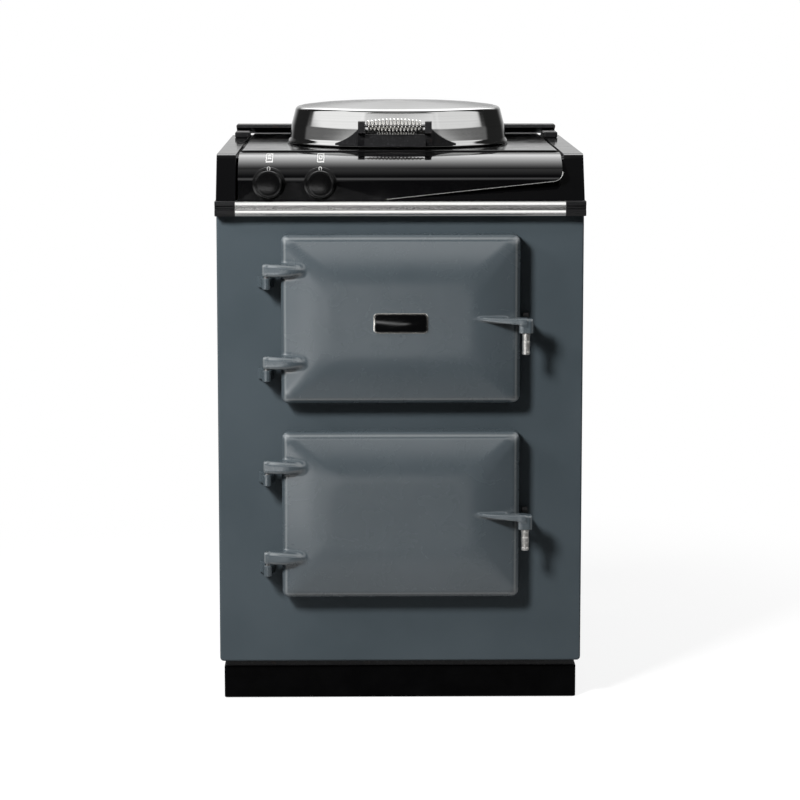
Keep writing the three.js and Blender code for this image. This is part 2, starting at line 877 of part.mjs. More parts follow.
function addFascia() {
  const strip = prism(fasciaSection(), 2 * fasciaHalf, towardsRight).translate(-fasciaHalf, 0, 0);
  const outline = prism(fasciaOutline(0), 2 * bodyDepth, towardsFront, 4);
  const shaped = common(strip, outline.translate(0, bodyDepth, 0));
  const holes = Object.values(knobCentres).map((x) =>
    rod(
      bushRadius + seatGap,
      axis(x, -cheekFront - 5, frontTop + knobHeight),
      axis(x, fasciaTopDepth, frontTop + knobHeight),
      16,
    ),
  );
  add(cooker, 'fascia', cut(shaped, ...holes), blackEnamel);
}

function addCheeks() {
  const slopeTop = frontTop + controlHeight - cheekTopRoll;
  const section = polygon([
    [-cheekFront, frontTop],
    [cheekTopFront, slopeTop],
    [cheekTopFront + cheekTopFacet * cheekRollShare, hobTop - cheekTopRoll * cheekRollDrop],
    [cheekTopFront + cheekTopFacet, hobTop],
    [rearInner, hobTop],
    [rearInner, frontTop],
  ]);
  const ledgeLeft = cheekInner - cheekLedge;
  const body = prism(section, cheekWidth, towardsRight);
  const ledge = block(
    ledgeLeft,
    cheekInner + 1,
    topPlateFront,
    rearInner,
    plateBottom - ledgeThickness,
    plateBottom,
  );
  const tongueSection = polygon([
    [-cheekFront, frontTop],
    [cheekTopFront, slopeTop],
    [cheekTopFront + fasciaEdge, slopeTop],
    [slopeAt(fasciaEdge) + fasciaEdge, frontTop + fasciaEdge],
    [frontThickness, frontTop + fasciaEdge],
    [frontThickness, frontTop],
  ]);
  const tongueLength = cheekInner + 1 - swooshStart;
  const tongue = prism(tongueSection, tongueLength, towardsRight).translate(swooshStart, 0, 0);
  const outline = prism(fasciaOutline(swooshGap), 2 * bodyDepth, towardsFront, 4);
  const wedge = cut(tongue, outline.translate(0, bodyDepth, 0));

  const rightBody = body.clone().translate(cheekInner, 0, 0);
  add(cooker, 'right_cheek', join(rightBody, ledge, wedge), blackEnamel);
  const leftBody = body.clone().translate(-halfBody, 0, 0);
  const leftLedge = ledge.clone().translate(-cheekInner - ledgeLeft - 1, 0, 0);
  add(cooker, 'left_cheek', join(leftBody, leftLedge), blackEnamel);
}

function addTopPlate() {
  const depth = rearInner - seatGap - topPlateFront;
  const middle = topPlateFront + depth / 2;
  const shape = roundedRectangle(topPlateWidth, depth, bodyCorner, 0, middle);
  const plate = chamferedPrism(shape, topPlateThickness, topPlateChamfer, upwards, 2);
  const hole = rod(
    hotplateRadius + hotplateGap,
    axis(0, hotplateCentre, plateBottom - 1),
    axis(0, hotplateCentre, plateTop + 1),
    hotplateSegments,
  );
  add(cooker, 'top_plate', cut(plate.translate(0, 0, plateBottom), hole), blackEnamel);

  const flangeRadius = hotplateRadius + hotplateFlange;
  const flangeTop = plateBottom - seatGap;
  const flangeBottom = casingTop + seatGap;
  const hotplate = turned(
    [
      [0, flangeBottom],
      [flangeRadius, flangeBottom],
      [flangeRadius, flangeTop],
      [hotplateRadius, flangeTop],
      [hotplateRadius, hotplateTop - 2],
      [hotplateRadius - 2, hotplateTop],
      [0, hotplateTop],
    ],
    hotplateSegments,
  );
  add(cooker, 'hotplate', hotplate.translate(0, hotplateCentre, 0), bareIron);

  const ring = [];
  const ringSides = 6;
  const ringHeight = flangeBottom - seatGap - elementRod / 2;
  for (let side = 0; side <= ringSides; side += 1) {
    const turn = (side * 2 * Math.PI) / ringSides;
    ring.push([
      hotplateElementRadius + (elementRod / 2) * Math.cos(turn),
      ringHeight + (elementRod / 2) * Math.sin(turn),
    ]);
  }
  const element = turned(ring, 24).translate(0, hotplateCentre, 0);
  add(cooker, 'hotplate_element', element, bareIron);
}

function addUpstand() {
  const back = bodyDepth - upstandInset;
  const front = upstandFront;
  const roundHeight = plateTop + upstandHeight - upstandRound;
  const section = new THREE.Shape();
  section.moveTo(front, plateTop);
  section.absarc(front + upstandRound, roundHeight, upstandRound, Math.PI, Math.PI / 2, true);
  section.absarc(back - upstandRound, roundHeight, upstandRound, Math.PI / 2, 0, true);
  section.lineTo(back, plateTop);
  section.closePath();
  const bar = chamferedPrism(section, upstandWidth, upstandEndChamfer, towardsRight);
  bar.translate(-upstandWidth / 2, 0, 0);
  const feet = [-1, 1].map((sign) => {
    const middle = (sign * (upstandWidth - upstandFootWidth)) / 2;
    const footMiddle = back - (upstandDepth + upstandFootLength) / 2;
    const foot = roundedRectangle(
      upstandFootWidth,
      upstandFootLength,
      upstandFootCorner,
      middle,
      footMiddle,
    );
    const raised = chamferedPrism(foot, upstandFootHeight, topPlateChamfer, upwards);
    return raised.translate(0, 0, hobTop);
  });
  add(cooker, 'rear_upstand', join(bar, ...feet), blackIron);
}

// ---------------------------------------------------------------- trim rail

// Rail profile from its top: upper band, groove, middle band, groove, lower band
function trimSection(proud) {
  const front = -trimDepth - proud;
  const top = trimTop + proud;
  const bottom = trimTop - trimHeight - proud;
  const groove = front + trimGroove;
  const middle = front + trimMiddleSetback;
  const level = (share) => trimTop - share * trimHeight;
  return polygon([
    [0, top],
    [front + trimEdge, top],
    [front, top - trimEdge],
    [front, level(trimUpperEnd)],
    [groove, level(trimUpperEnd + trimSlant)],
    [groove, level(trimMiddleStart - trimSlant)],
    [middle, level(trimMiddleStart)],
    [middle, level(trimMiddleEnd)],
    [groove, level(trimMiddleEnd + trimSlant)],
    [groove, level(trimLowerStart - trimSlant)],
    [front, level(trimLowerStart)],
    [front, level(trimLowerEnd)],
    [front + trimUndercut, bottom],
    [0, bottom],
  ]);
}

function addTrim() {
  const half = trimLength / 2;
  const rail = prism(trimSection(0), trimLength, towardsRight).translate(-half, 0, 0);
  add(cooker, 'front_trim', rail, stainless);
  for (const [side, left] of Object.entries({ left: -half - trimCapLength, right: half })) {
    const section = trimSection(trimCapProud);
    const cap = chamferedPrism(section, trimCapLength, trimCapChamfer, towardsRight);
    add(cooker, `${side}_trim_cap`, cap.translate(left, 0, 0), blackPlastic);
  }
}

// ---------------------------------------------------------------- controls

function addControl(side, x) {
  const height = frontTop + knobHeight;
  const knobBack = -cheekFront - knobGap;
  const bodyFront = slopeAt(knobHeight + switchSize / 2) + fasciaWall + seatGap;
  const body = block(
    x - switchSize / 2,
    x + switchSize / 2,
    bodyFront,
    bodyFront + switchDepth,
    height - switchSize / 2,
    height + switchSize / 2,
  );
  const bush = rod(bushRadius, axis(x, -cheekFront, height), axis(x, bodyFront + 1, height), 16);
  const shaft = rod(
    shaftRadius,
    axis(x, knobBack - shaftLength, height),
    axis(x, bodyFront + 1, height),
    12,
  );
  add(cooker, `${side}_control_switch`, join(body, bush, shaft), blackPlastic);

  const bore = shaftRadius + turnGap;
  const boreDepth = shaftLength + turnGap;
  const profile = [
    [0, boreDepth],
    [bore, boreDepth],
    [bore, 0],
    [knobSkirtRadius - knobSkirtEdge, 0],
    [knobSkirtRadius, knobSkirtEdge],
    ...roundedRim(knobSkirtRadius, knobSkirtDepth, knobSkirtEdge, 1),
    [knobRadius + knobTaper, knobSkirtDepth + knobSkirtEdge],
    ...roundedRim(knobRadius - knobTaper, knobDepth, knobRound),
    [0, knobDepth],
  ];
  const knob = new THREE.Group();
  knob.position.set(x, knobBack, height);
  add(knob, `${side}_knob`, turnedToFront(profile, 26), blackPlastic);
  cooker.add(knob);
}

// ---------------------------------------------------------------- doors

// A lug round the hinge pin, rounded at its top
function barrel(bottom, height) {
  return turned(
    [
      [0, bottom],
      [barrelRadius, bottom],
      ...roundedRim(barrelRadius, bottom + height, barrelRound),
      [0, bottom + height],
    ],
    16,
  );
}

// Everything on a door is drawn from the hinge pin at the height of the middle of the door
const doorMiddleX = pinSideways + doorWidth / 2;
const doorBackY = pinStandoff - doorGap;
const doorEdgeY = doorBackY - doorRim;

function doorSkin() {
  const loops = [];
  const addLoop = (inset, y, corner) => {
    const width = doorWidth - 2 * inset;
    const height = doorHeight - 2 * inset;
    loops.push(roundedLoop(width, height, corner, (u, v) => axis(doorMiddleX + u, y, v), 4));
  };
  addLoop(1, doorBackY, doorCorner - 1);
  addLoop(0, doorBackY - 1, doorCorner);
  const shoulderSteps = 3;
  for (let step = 0; step <= shoulderSteps; step += 1) {
    const turn = (step * Math.PI) / 2 / shoulderSteps;
    const inset = doorShoulder * (1 - Math.cos(turn));
    addLoop(inset, doorEdgeY + doorShoulder * (1 - Math.sin(turn)), doorCorner);
  }
  const slopeSteps = 4;
  for (let step = 1; step <= slopeSteps; step += 1) {
    const share = step / slopeSteps;
    const rise = doorCrown * Math.sin((share * Math.PI) / 2);
    addLoop(doorShoulder + doorSlope * share, doorEdgeY - rise, doorCorner);
  }
  return loft(loops);
}

// Arm from the hinge barrel over the edge of the door, dying into its face
function doorLug(middle) {
  const bottom = middle - doorLugHeight / 2;
  const steps = 6;
  const loops = [];
  for (let step = 0; step <= steps; step += 1) {
    const share = step / steps;
    const front = -barrelRadius - doorLugBulge * Math.sin(share * Math.PI);
    const back = barrelRadius - doorLugFlat;
    const height = doorLugHeight * (1 - doorLugTaper * share * share);
    const x = doorLugReach * share;
    const y = (front + back) / 2;
    const place = (u, v) => axis(x, y + u, middle + v);
    loops.push(roundedLoop(back - front, height, doorLugCorner, place, 2));
  }
  return join(barrel(bottom, doorLugHeight), loft(loops));
}

// Arm that grows out of the face and carries the grip past the edge of the door
function handleArm() {
  const tip = doorMiddleX + doorWidth / 2 - handleTip;
  const end = doorMiddleX + doorWidth / 2 + handleReach - bossWidth / 2;
  const frontEnd = pinStandoff - handleFront;
  const frontTip = doorEdgeY - doorCrown + handleArmTipProud;
  const backTip = frontTip + handleArmTipDepth;
  const backEnd = frontEnd + bossDepth - handleArmTipProud;
  const steps = 6;
  const loops = [];
  for (let step = 0; step <= steps; step += 1) {
    const share = step / steps;
    const x = tip + (end - tip) * share;
    const front = frontTip + (frontEnd - frontTip) * Math.sin((share * Math.PI) / 2);
    const back = backTip + (backEnd - backTip) * share;
    const height = handleArmHeight * (handleArmTipShare + (1 - handleArmTipShare) * share);
    const place = (u, v) => axis(x, (front + back) / 2 + u, handleTop - height / 2 + v);
    loops.push(roundedLoop(back - front, height, handleArmCorner, place, 2));
  }
  return loft(loops);
}

const bossX = doorMiddleX + doorWidth / 2 + handleReach - bossWidth / 2;
const bossY = pinStandoff - handleFront + bossDepth / 2;
const bossBottom = handleTop - bossHeight;

function handleBoss() {
  const loops = [];
  const addLoop = (inset, z) => {
    const place = (u, v) => axis(bossX + u, bossY + v, z);
    loops.push(roundedLoop(bossWidth - 2 * inset, bossDepth - 2 * inset, bossCorner, place, 3));
  };
  addLoop(bossFootEdge, bossBottom);
  addLoop(0, bossBottom + bossFootEdge);
  for (const [rim, height] of roundedRim(0, handleTop, bossRound)) {
    addLoop(-rim, height);
  }
  return loft(loops);
}

function addDoor(side, centre) {
  const door = new THREE.Group();
  door.position.set(pinX, -pinStandoff, centre);
  cooker.add(door);

  const cavity = block(
    pinSideways + doorWall,
    pinSideways + doorWidth - doorWall,
    doorEdgeY + doorWall,
    doorBackY + 1,
    -doorHeight / 2 + doorWall,
    doorHeight / 2 - doorWall,
  );
  const lugs = Object.values(hingeOffsets).map(doorLug);
  const pinBores = Object.values(hingeOffsets).map((offset) => {
    const bottom = offset - doorLugHeight / 2;
    return rod(pinRadius + turnGap, axis(0, 0, bottom - 1), axis(0, 0, bottom + doorLugBore), 16);
  });
  const gripBore = rod(
    gripSpigotRadius + seatGap,
    axis(bossX, bossY, bossBottom - 1),
    axis(bossX, bossY, bossBottom + gripSpigotLength + seatGap),
    14,
  );
  const shell = cut(doorSkin(), cavity);
  const casting = cut(join(shell, ...lugs, handleArm(), handleBoss()), ...pinBores, gripBore);
  add(door, `${side}_door_casting`, casting, slateEnamel);

  const plugHalfWidth = mouthWidth / 2 - plugClearance;
  const plugHalfHeight = mouthHeight / 2 - plugClearance;
  const linerFront = doorBackY - linerSheet;
  const plugBack = pinStandoff + plugDepth;
  const linerFlange = block(
    pinSideways + doorWall + seatGap,
    pinSideways + doorWidth - doorWall - seatGap,
    linerFront,
    doorBackY,
    -doorHeight / 2 + doorWall + seatGap,
    doorHeight / 2 - doorWall - seatGap,
  );
  const plugShape = roundedRectangle(
    2 * plugHalfWidth,
    2 * plugHalfHeight,
    mouthCorner,
    doorMiddleX,
    0,
  );
  const plug = chamferedPrism(plugShape, plugBack - linerFront, plugChamfer, towardsFront);
  plug.translate(0, plugBack, 0);
  const hollow = block(
    doorMiddleX - plugHalfWidth + linerSheet,
    doorMiddleX + plugHalfWidth - linerSheet,
    linerFront - 1,
    plugBack - linerSheet,
    -plugHalfHeight + linerSheet,
    plugHalfHeight - linerSheet,
  );
  add(door, `${side}_door_liner`, cut(join(linerFlange, plug), hollow), aluminised);

  const sealShape = roundedRectangle(
    mouthWidth + 2 * (sealWidth + sealSetback),
    mouthHeight + 2 * (sealWidth + sealSetback),
    mouthCorner + sealWidth,
    doorMiddleX,
    0,
  );
  sealShape.holes.push(
    roundedRectangle(
      mouthWidth + 2 * sealSetback,
      mouthHeight + 2 * sealSetback,
      mouthCorner,
      doorMiddleX,
      0,
    ),
  );
  const sealDepth = doorGap - 2 * seatGap;
  const seal = chamferedPrism(sealShape, sealDepth, sealRound, towardsFront);
  add(door, `${side}_door_seal`, seal.translate(0, pinStandoff - seatGap, 0), ropeSeal);

  const grip = turned(
    [
      [0, -gripLength],
      [gripRadius - gripSlant, -gripLength],
      [gripRadius, -gripLength + gripSlant],
      [gripRadius, -gripLength + gripBand],
      [gripRadius - gripWaist, -gripLength + gripBand + gripSlant],
      [gripRadius - gripWaist, -gripBand - gripSlant],
      [gripRadius, -gripBand],
      [gripRadius, 0],
      [gripSpigotRadius, 0],
      [gripSpigotRadius, gripSpigotLength],
      [0, gripSpigotLength],
    ],
    14,
  );
  add(door, `${side}_door_grip`, grip.translate(bossX, bossY, bossBottom), polished);
}

// Bracket on the front plate with the lug that the door rests on
function fixedHingePiece() {
  const bottom = -doorLugHeight / 2 - lugGap - fixedLugHeight;
  const footLeft = fixedLugFootShift - fixedLugFoot / 2;
  const footRight = fixedLugFootShift + fixedLugFoot / 2;
  const plan = new THREE.Shape();
  plan.moveTo(footLeft, pinStandoff);
  plan.lineTo(footLeft, pinStandoff - fixedLugFootDepth);
  plan.quadraticCurveTo(-barrelRadius, pinStandoff - fixedLugLeftCurve, -barrelRadius, 0);
  plan.absarc(0, 0, barrelRadius, Math.PI, 2 * Math.PI);
  plan.quadraticCurveTo(
    barrelRadius,
    pinStandoff - fixedLugRightCurve,
    footRight,
    pinStandoff - fixedLugFootDepth,
  );
  plan.lineTo(footRight, pinStandoff);
  plan.closePath();
  const casting = chamferedPrism(plan, fixedLugHeight, 1, upwards, 3).translate(0, 0, bottom);
  const bore = rod(pinRadius + seatGap, axis(0, 0, bottom + pinSeatFloor), axis(0, 0, 0), 16);
  return cut(casting, bore);
}

function hingePin() {
  const lugBottom = -doorLugHeight / 2;
  const pinBottom = lugBottom - lugGap - fixedLugHeight + pinSeatFloor + seatGap;
  const collarBottom = lugBottom - lugGap;
  const pinTop = lugBottom + doorLugBore - 1;
  return turned(
    [
      [0, pinBottom],
      [pinRadius, pinBottom],
      [pinRadius, collarBottom],
      [collarRadius, collarBottom],
      [collarRadius, collarBottom + collarThickness],
      [pinRadius, collarBottom + collarThickness],
      [pinRadius, pinTop - 1],
      [pinRadius - 1, pinTop],
      [0, pinTop],
    ],
    12,
  );
}

// Catch on the front plate behind the end of the handle arm
function keeper() {
  const left = doorWidth / 2 + keeperSpace;
  const noseFront = -handleFront + bossDepth + keeperGap;
  const section = new THREE.Shape();
  section.moveTo(0, -keeperHeight / 2);
  section.lineTo(0, keeperHeight / 2);
  section.lineTo(-keeperFlange, keeperHeight / 2);
  section.quadraticCurveTo(-keeperFlange, keeperNose / 2, noseFront / 2, keeperNose / 2);
  section.lineTo(noseFront + keeperBevel, keeperNose / 2);
  section.lineTo(noseFront, keeperNose / 2 - keeperBevel);
  section.lineTo(noseFront, -keeperNose / 2);
  section.quadraticCurveTo(-keeperFlange, -keeperNose / 2, -keeperFlange, -keeperHeight / 2);
  section.closePath();
  const catchHeight = handleTop - bossHeight / 2;
  const casting = chamferedPrism(section, keeperWidth, keeperChamfer, towardsRight, 4);
  return casting.translate(left, 0, catchHeight);
}

function addDoorFittings(side, centre) {
  for (const [end, offset] of Object.entries(hingeOffsets)) {
    const bracket = fixedHingePiece().translate(pinX, -pinStandoff, centre + offset);
    add(cooker, `${side}_door_${end}_hinge`, bracket, slateEnamel);
    const pin = hingePin().translate(pinX, -pinStandoff, centre + offset);
    add(cooker, `${side}_door_${end}_hinge_pin`, pin, pinSteel);
  }
  add(cooker, `${side}_door_keeper`, keeper().translate(0, 0, centre), slateEnamel);
}

// ---------------------------------------------------------------- lid

// The lid is drawn from the middle of its rim
function lidSide(grow) {
  return [
    [lidSkirtRadius + grow, lidSkirtHeight],
    [lidWaistRadius + grow, lidWaistHeight],
    [lidShoulderRadius + grow, lidShoulderHeight],
  ];
}

function lidCrown(drop) {
  const crease = [lidShoulderRadius - lidCreaseDrop, lidShoulderHeight + lidCreaseDrop];
  const slopes = lidCrownSlopes.map(([inwards, rise]) => [
    lidShoulderRadius - inwards,
    lidShoulderHeight + rise,
  ]);
  return [crease, ...slopes].map(([radius, height]) => [radius - drop, height - drop]);
}

function lidOutside(grow) {
  return [
    [lidRadius - lidRimRound + grow, 0],
    [lidRadius + grow, lidRimRound],
    [lidRadius - lidRimStep + grow, lidRimBand],
    ...lidSide(grow),
    ...lidCrown(0),
  ];
}

function lidShell() {
  const inside = lidSide(-lidSheet).map(([radius, height]) => [radius, height - lidSheet]);
  const profile = [
    ...lidOutside(0),
    [0, lidCrownHeight],
    [0, lidCrownHeight - lidSheet],
    ...[...inside, ...lidCrown(lidSheet)].reverse(),
    lidOutside(0)[0],
  ];
  return turned(profile, lidSegments);
}

function lidLiner() {
  const bottom = hotplateTop + lidLinerLift - lidRim;
  const rimReach = lidSkirtRadius - lidSheet - seatGap;
  const rimEdge = lidSkirtHeight - lidSheet;
  const outer = lidLinerRadius + lidLinerThickness;
  return turned(
    [
      [0, bottom],
      [lidLinerRadius - lidLinerBevel, bottom],
      [lidLinerRadius, bottom - lidLinerBevel],
      [lidLinerRadius, rimEdge - lidLinerRimDrop],
      [rimReach, rimEdge - lidLinerRimDrop],
      [rimReach, rimEdge - lidLinerRimTop],
      [outer, rimEdge - lidLinerRimTop],
      [outer, bottom + lidLinerThickness],
      [0, bottom + lidLinerThickness],
    ],
    hotplateSegments,
  );
}

function coilPoint(share) {
  const length = coilTurns * coilPitch;
  const radius = coilEndRadius + (coilMiddleRadius - coilEndRadius) * Math.sin(share * Math.PI);
  const turn = share * coilTurns * 2 * Math.PI;
  return {
    centre: axis(
      (share - 0.5) * length,
      radius * Math.cos(turn),
      radius * Math.sin(turn),
    ),
    outward: axis(0, Math.cos(turn), Math.sin(turn)),
  };
}

// Smallest distance between wire centres more than half a turn apart, less the wire
function leastCoilGap(centres) {
  let least = Infinity;
  for (let first = 0; first < centres.length; first += 1) {
    for (let later = first + coilStepsPerTurn / 2 + 1; later < centres.length; later += 1) {
      least = Math.min(least, centres[first].distanceTo(centres[later]) - coilWire);
    }
  }
  return least;
}

const coilHalfLength = (coilTurns * coilPitch) / 2 + coilWire;

// One unbroken wire: a barrel-shaped helix along X with straight ends
function handleCoil() {
  const steps = coilTurns * coilStepsPerTurn;
  const stations = [];
  for (let step = 0; step <= steps; step += 1) {
    stations.push(coilPoint(step / steps));
  }
  const first = stations[0];
  const last = stations.at(-1);
  stations.unshift({ centre: first.centre.clone().setX(-coilHalfLength), outward: first.outward });
  stations.push({ centre: last.centre.clone().setX(coilHalfLength), outward: last.outward });
  const centres = stations.map((station) => station.centre);
  console.log(`handle coil, least gap to itself: ${leastCoilGap(centres).toFixed(2)} mm`);

  return tube(stations, coilWire / 2, coilSides);
}

// The handle is drawn from the middle of the coil, with the lid behind it
function handleBracket() {
  const lugInner = coilHalfLength + seatGap;
  const lugOuter = lugInner + lugWidth;
  const lidFace = coilAxisReach - lidRadius;
  const rim = bracketFoot - coilAxisRise;
  const backY = lidFace + bracketIntoLid;
  const armOuter = lugOuter + bracketFlare;
  const plan = (sign) => {
    const shape = new THREE.Shape();
    shape.moveTo(sign * lugInner, -lugFront);
    shape.lineTo(sign * lugOuter, -lugFront);
    shape.lineTo(sign * lugOuter, lugFront / 2);
    shape.quadraticCurveTo(
      sign * lugOuter,
      lidFace - bracketFoot,
      sign * armOuter,
      lidFace + bracketSpread,
    );
    shape.lineTo(sign * armOuter, backY);
    shape.lineTo(sign * lugInner, backY);
    shape.closePath();
    return prism(shape, lugTopRise - rim, upwards, 6).translate(0, 0, rim);
  };
  const face = (sign) => {
    const start = lugTopRise - bracketFaceDrop;
    const end = rim + bracketFaceEdge;
    const shape = new THREE.Shape();
    shape.moveTo(sign * lugInner, rim);
    shape.lineTo(sign * lugInner, lugTopRise);
    shape.lineTo(sign * lugOuter, lugTopRise);
    shape.lineTo(sign * lugOuter, start);
    shape.quadraticCurveTo(
      sign * (lugOuter + bracketFlare / 2 - bracketFaceSag),
      (start + end) / 2 - bracketFaceSag,
      sign * armOuter,
      end,
    );
    shape.lineTo(sign * armOuter, rim);
    shape.closePath();
    return prism(shape, backY + lugFront, towardsFront, 6).translate(0, backY, 0);
  };
  const side = new THREE.Shape();
  side.moveTo(-lugFront, -lugDrop);
  side.lineTo(-lugFront, lugTopRise - lugRound);
  side.quadraticCurveTo(-lugFront, lugTopRise, -lugFront + lugRound, lugTopRise);
  side.lineTo(lugFront, lugTopRise);
  side.quadraticCurveTo(
    2 * lugFront,
    lugTopRise - bracketTopDrop,
    backY,
    lugTopRise - bracketTopDrop,
  );
  side.lineTo(backY, rim);
  side.lineTo(lugFront + bracketFoot, rim);
  side.quadraticCurveTo(
    lugFront,
    rim + bracketWebRise,
    lugFront - bracketFoot,
    -lugDrop - bracketFoot,
  );
  side.closePath();
  const reach = 2 * armOuter;
  const profile = prism(side, reach, towardsRight, 6).translate(-reach / 2, 0, 0);
  const arms = [-1, 1].map((sign) => common(common(plan(sign), face(sign)), profile));
  const crossPlate = block(
    -lugInner - 1,
    lugInner + 1,
    crossPlateBehind,
    crossPlateBehind + crossPlateThickness,
    rim,
    rim + crossPlateHeight,
  );
  const lidSpace = turned([[0, -1], ...lidOutside(seatGap), [0, lidCrownHeight]], lidSegments);
  lidSpace.rotateZ(-handleTurn).translate(0, coilAxisReach, -coilAxisRise);
  const rodLength = lugOuter + 1;
  const bore = rod(
    handleRodRadius + seatGap,
    axis(-rodLength, 0, 0),
    axis(rodLength, 0, 0),
    14,
  );
  return cut(join(...arms, crossPlate), lidSpace, bore);
}

function addLid() {
  const lid = new THREE.Group();
  const axisZ = plateTop + lidAxisRise;
  lid.position.set(0, lidAxisY, axisZ);
  cooker.add(lid);
  const rimDrop = lidRim - axisZ;

  const shell = lidShell();
  add(lid, 'lid_shell', shell.translate(0, -lidAxisBehind, rimDrop), stainless);
  const liner = lidLiner();
  add(lid, 'lid_liner', liner.translate(0, -lidAxisBehind, rimDrop), aluminised);

  const knuckle = rod(
    lidKnuckleRadius,
    axis(-lidKnuckleLength / 2, 0, 0),
    axis(lidKnuckleLength / 2, 0, 0),
    20,
  );
  const armFront = lidRadius - lidAxisBehind - lidArmIntoLid;
  const arm = block(
    -lidArmWidth / 2,
    lidArmWidth / 2,
    armFront,
    0,
    -lidKnuckleRadius + 1,
    lidArmHeight - lidKnuckleRadius,
  );
  const lidSpace = turned([[0, -1], ...lidOutside(seatGap), [0, lidCrownHeight]], lidSegments);
  lidSpace.translate(0, -lidAxisBehind, rimDrop);
  const pinBore = rod(
    lidPinRadius + turnGap,
    axis(-lidKnuckleLength, 0, 0),
    axis(lidKnuckleLength, 0, 0),
    16,
  );
  add(lid, 'lid_hinge_arm', cut(join(knuckle, arm), lidSpace, pinBore), blackIron);

  const handle = new THREE.Group();
  handle.position.set(0, -lidAxisBehind, rimDrop + coilAxisRise);
  handle.rotation.z = handleTurn;
  lid.add(handle);
  const reach = -coilAxisReach;
  add(handle, 'lid_handle_bracket', handleBracket().translate(0, reach, 0), blackIron);
  add(handle, 'lid_handle_coil', handleCoil().translate(0, reach, 0), polished);
  const rodHalf = coilHalfLength + seatGap + lugWidth;
  const handleRod = rod(handleRodRadius, axis(-rodHalf, 0, 0), axis(rodHalf, 0, 0), 14);
  add(handle, 'lid_handle_rod', handleRod.translate(0, reach, 0), pinSteel);

  const earInner = lidKnuckleLength / 2 + turnGap;
  const baseHalf = earInner + lidEarThickness;
  const baseFront = -lidEarRadius;
  const foot = block(
    -baseHalf,
    baseHalf,
    baseFront,
    baseFront + lidBaseDepth,
    -lidAxisRise,
    -lidAxisRise + lidBaseThickness,
  );
  const ears = [-baseHalf, earInner].map((left) => {
    const shape = new THREE.Shape();
    shape.moveTo(-lidEarRadius, -lidAxisRise);
    shape.lineTo(lidEarRadius, -lidAxisRise);
    shape.absarc(0, 0, lidEarRadius, 0, Math.PI);
    shape.closePath();
    return prism(shape, lidEarThickness, towardsRight, 5).translate(left, 0, 0);
  });
  const earBore = rod(
    lidPinRadius + seatGap,
    axis(-baseHalf - 1, 0, 0),
    axis(baseHalf + 1, 0, 0),
    16,
  );
  const base = cut(join(foot, ...ears), earBore).translate(0, lidAxisY, axisZ);
  add(cooker, 'lid_hinge_base', base, blackIron);
  const pinHalf = baseHalf + lidPinProud;
  const pin = rod(lidPinRadius, axis(-pinHalf, 0, 0), axis(pinHalf, 0, 0), 16);
  add(cooker, 'lid_hinge_pin', pin.translate(0, lidAxisY, axisZ), pinSteel);
}

// ---------------------------------------------------------------- terminal box

function addTerminalBox() {
  const top = terminalHeight + recessSize / 2 - terminalBoxGap;
  const bottom = top - terminalBoxHeight;
  const left = terminalCentreX - terminalWidth / 2;
  const right = terminalCentreX + terminalWidth / 2;
  const front = bodyDepth - recessDepth + recessSheet + seatGap;
  const box = block(left, right, front, front + terminalBoxDepth, bottom, top);
  add(cooker, 'terminal_box', box, blackPlastic);

  const gland = turned(
    [
      [glandBore, bottom - glandLength],
      [glandRadius - glandEdge, bottom - glandLength],
      [glandRadius, bottom - glandLength + glandEdge],
      [glandRadius, bottom],
      [glandBore, bottom],
      [glandBore, bottom - glandLength],
    ],
    12,
  );
  const glandY = front + terminalBoxDepth / 2;
  add(cooker, 'cable_gland', gland.translate(terminalCentreX, glandY, 0), blackPlastic);
}

// ---------------------------------------------------------------- assembly

addBase();
addCabinet();
addInsulation();
for (const [name, centre] of Object.entries(ovenCentres)) {
  addOven(name, centre);
}
addFascia();
addCheeks();
addTopPlate();
addUpstand();
addTrim();
for (const [side, x] of Object.entries(knobCentres)) {
  addControl(side, x);
}
for (const [side, centre] of Object.entries({ upper: upperCentre, lower: lowerCentre })) {
  addDoor(side, centre);
  addDoorFittings(side, centre);
}
addLid();
addTerminalBox();

// The origin is on the floor under the middle of the whole box
cooker.position.y = (handleFront - bodyDepth) / 2;
const rangeCooker = new THREE.Group();
rangeCooker.add(cooker);

export default rangeCooker;
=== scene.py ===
"""Looks of the range cooker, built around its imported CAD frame."""
import itertools
import json
import math

import bmesh
import bpy
import numpy as np
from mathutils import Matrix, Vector


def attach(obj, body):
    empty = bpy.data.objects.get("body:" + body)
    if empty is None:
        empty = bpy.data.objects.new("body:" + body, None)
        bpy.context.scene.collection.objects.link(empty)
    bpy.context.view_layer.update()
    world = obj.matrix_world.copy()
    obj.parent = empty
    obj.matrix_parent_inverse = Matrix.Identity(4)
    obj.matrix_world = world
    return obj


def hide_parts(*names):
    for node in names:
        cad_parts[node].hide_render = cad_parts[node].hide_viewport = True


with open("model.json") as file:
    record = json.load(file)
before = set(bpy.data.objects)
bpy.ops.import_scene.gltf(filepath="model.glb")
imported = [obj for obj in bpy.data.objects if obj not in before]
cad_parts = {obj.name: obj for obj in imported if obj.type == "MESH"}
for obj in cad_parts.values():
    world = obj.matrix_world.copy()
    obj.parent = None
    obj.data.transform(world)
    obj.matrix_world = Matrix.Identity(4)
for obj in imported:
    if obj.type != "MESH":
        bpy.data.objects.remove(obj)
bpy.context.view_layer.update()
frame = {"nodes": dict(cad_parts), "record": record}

MM = 0.001
NODES = frame["nodes"]


# ---------------------------------------------------------------- materials

MIX_FIRST, MIX_SECOND, MIX_RESULT = 6, 7, 2     # the colour sockets of a mix node


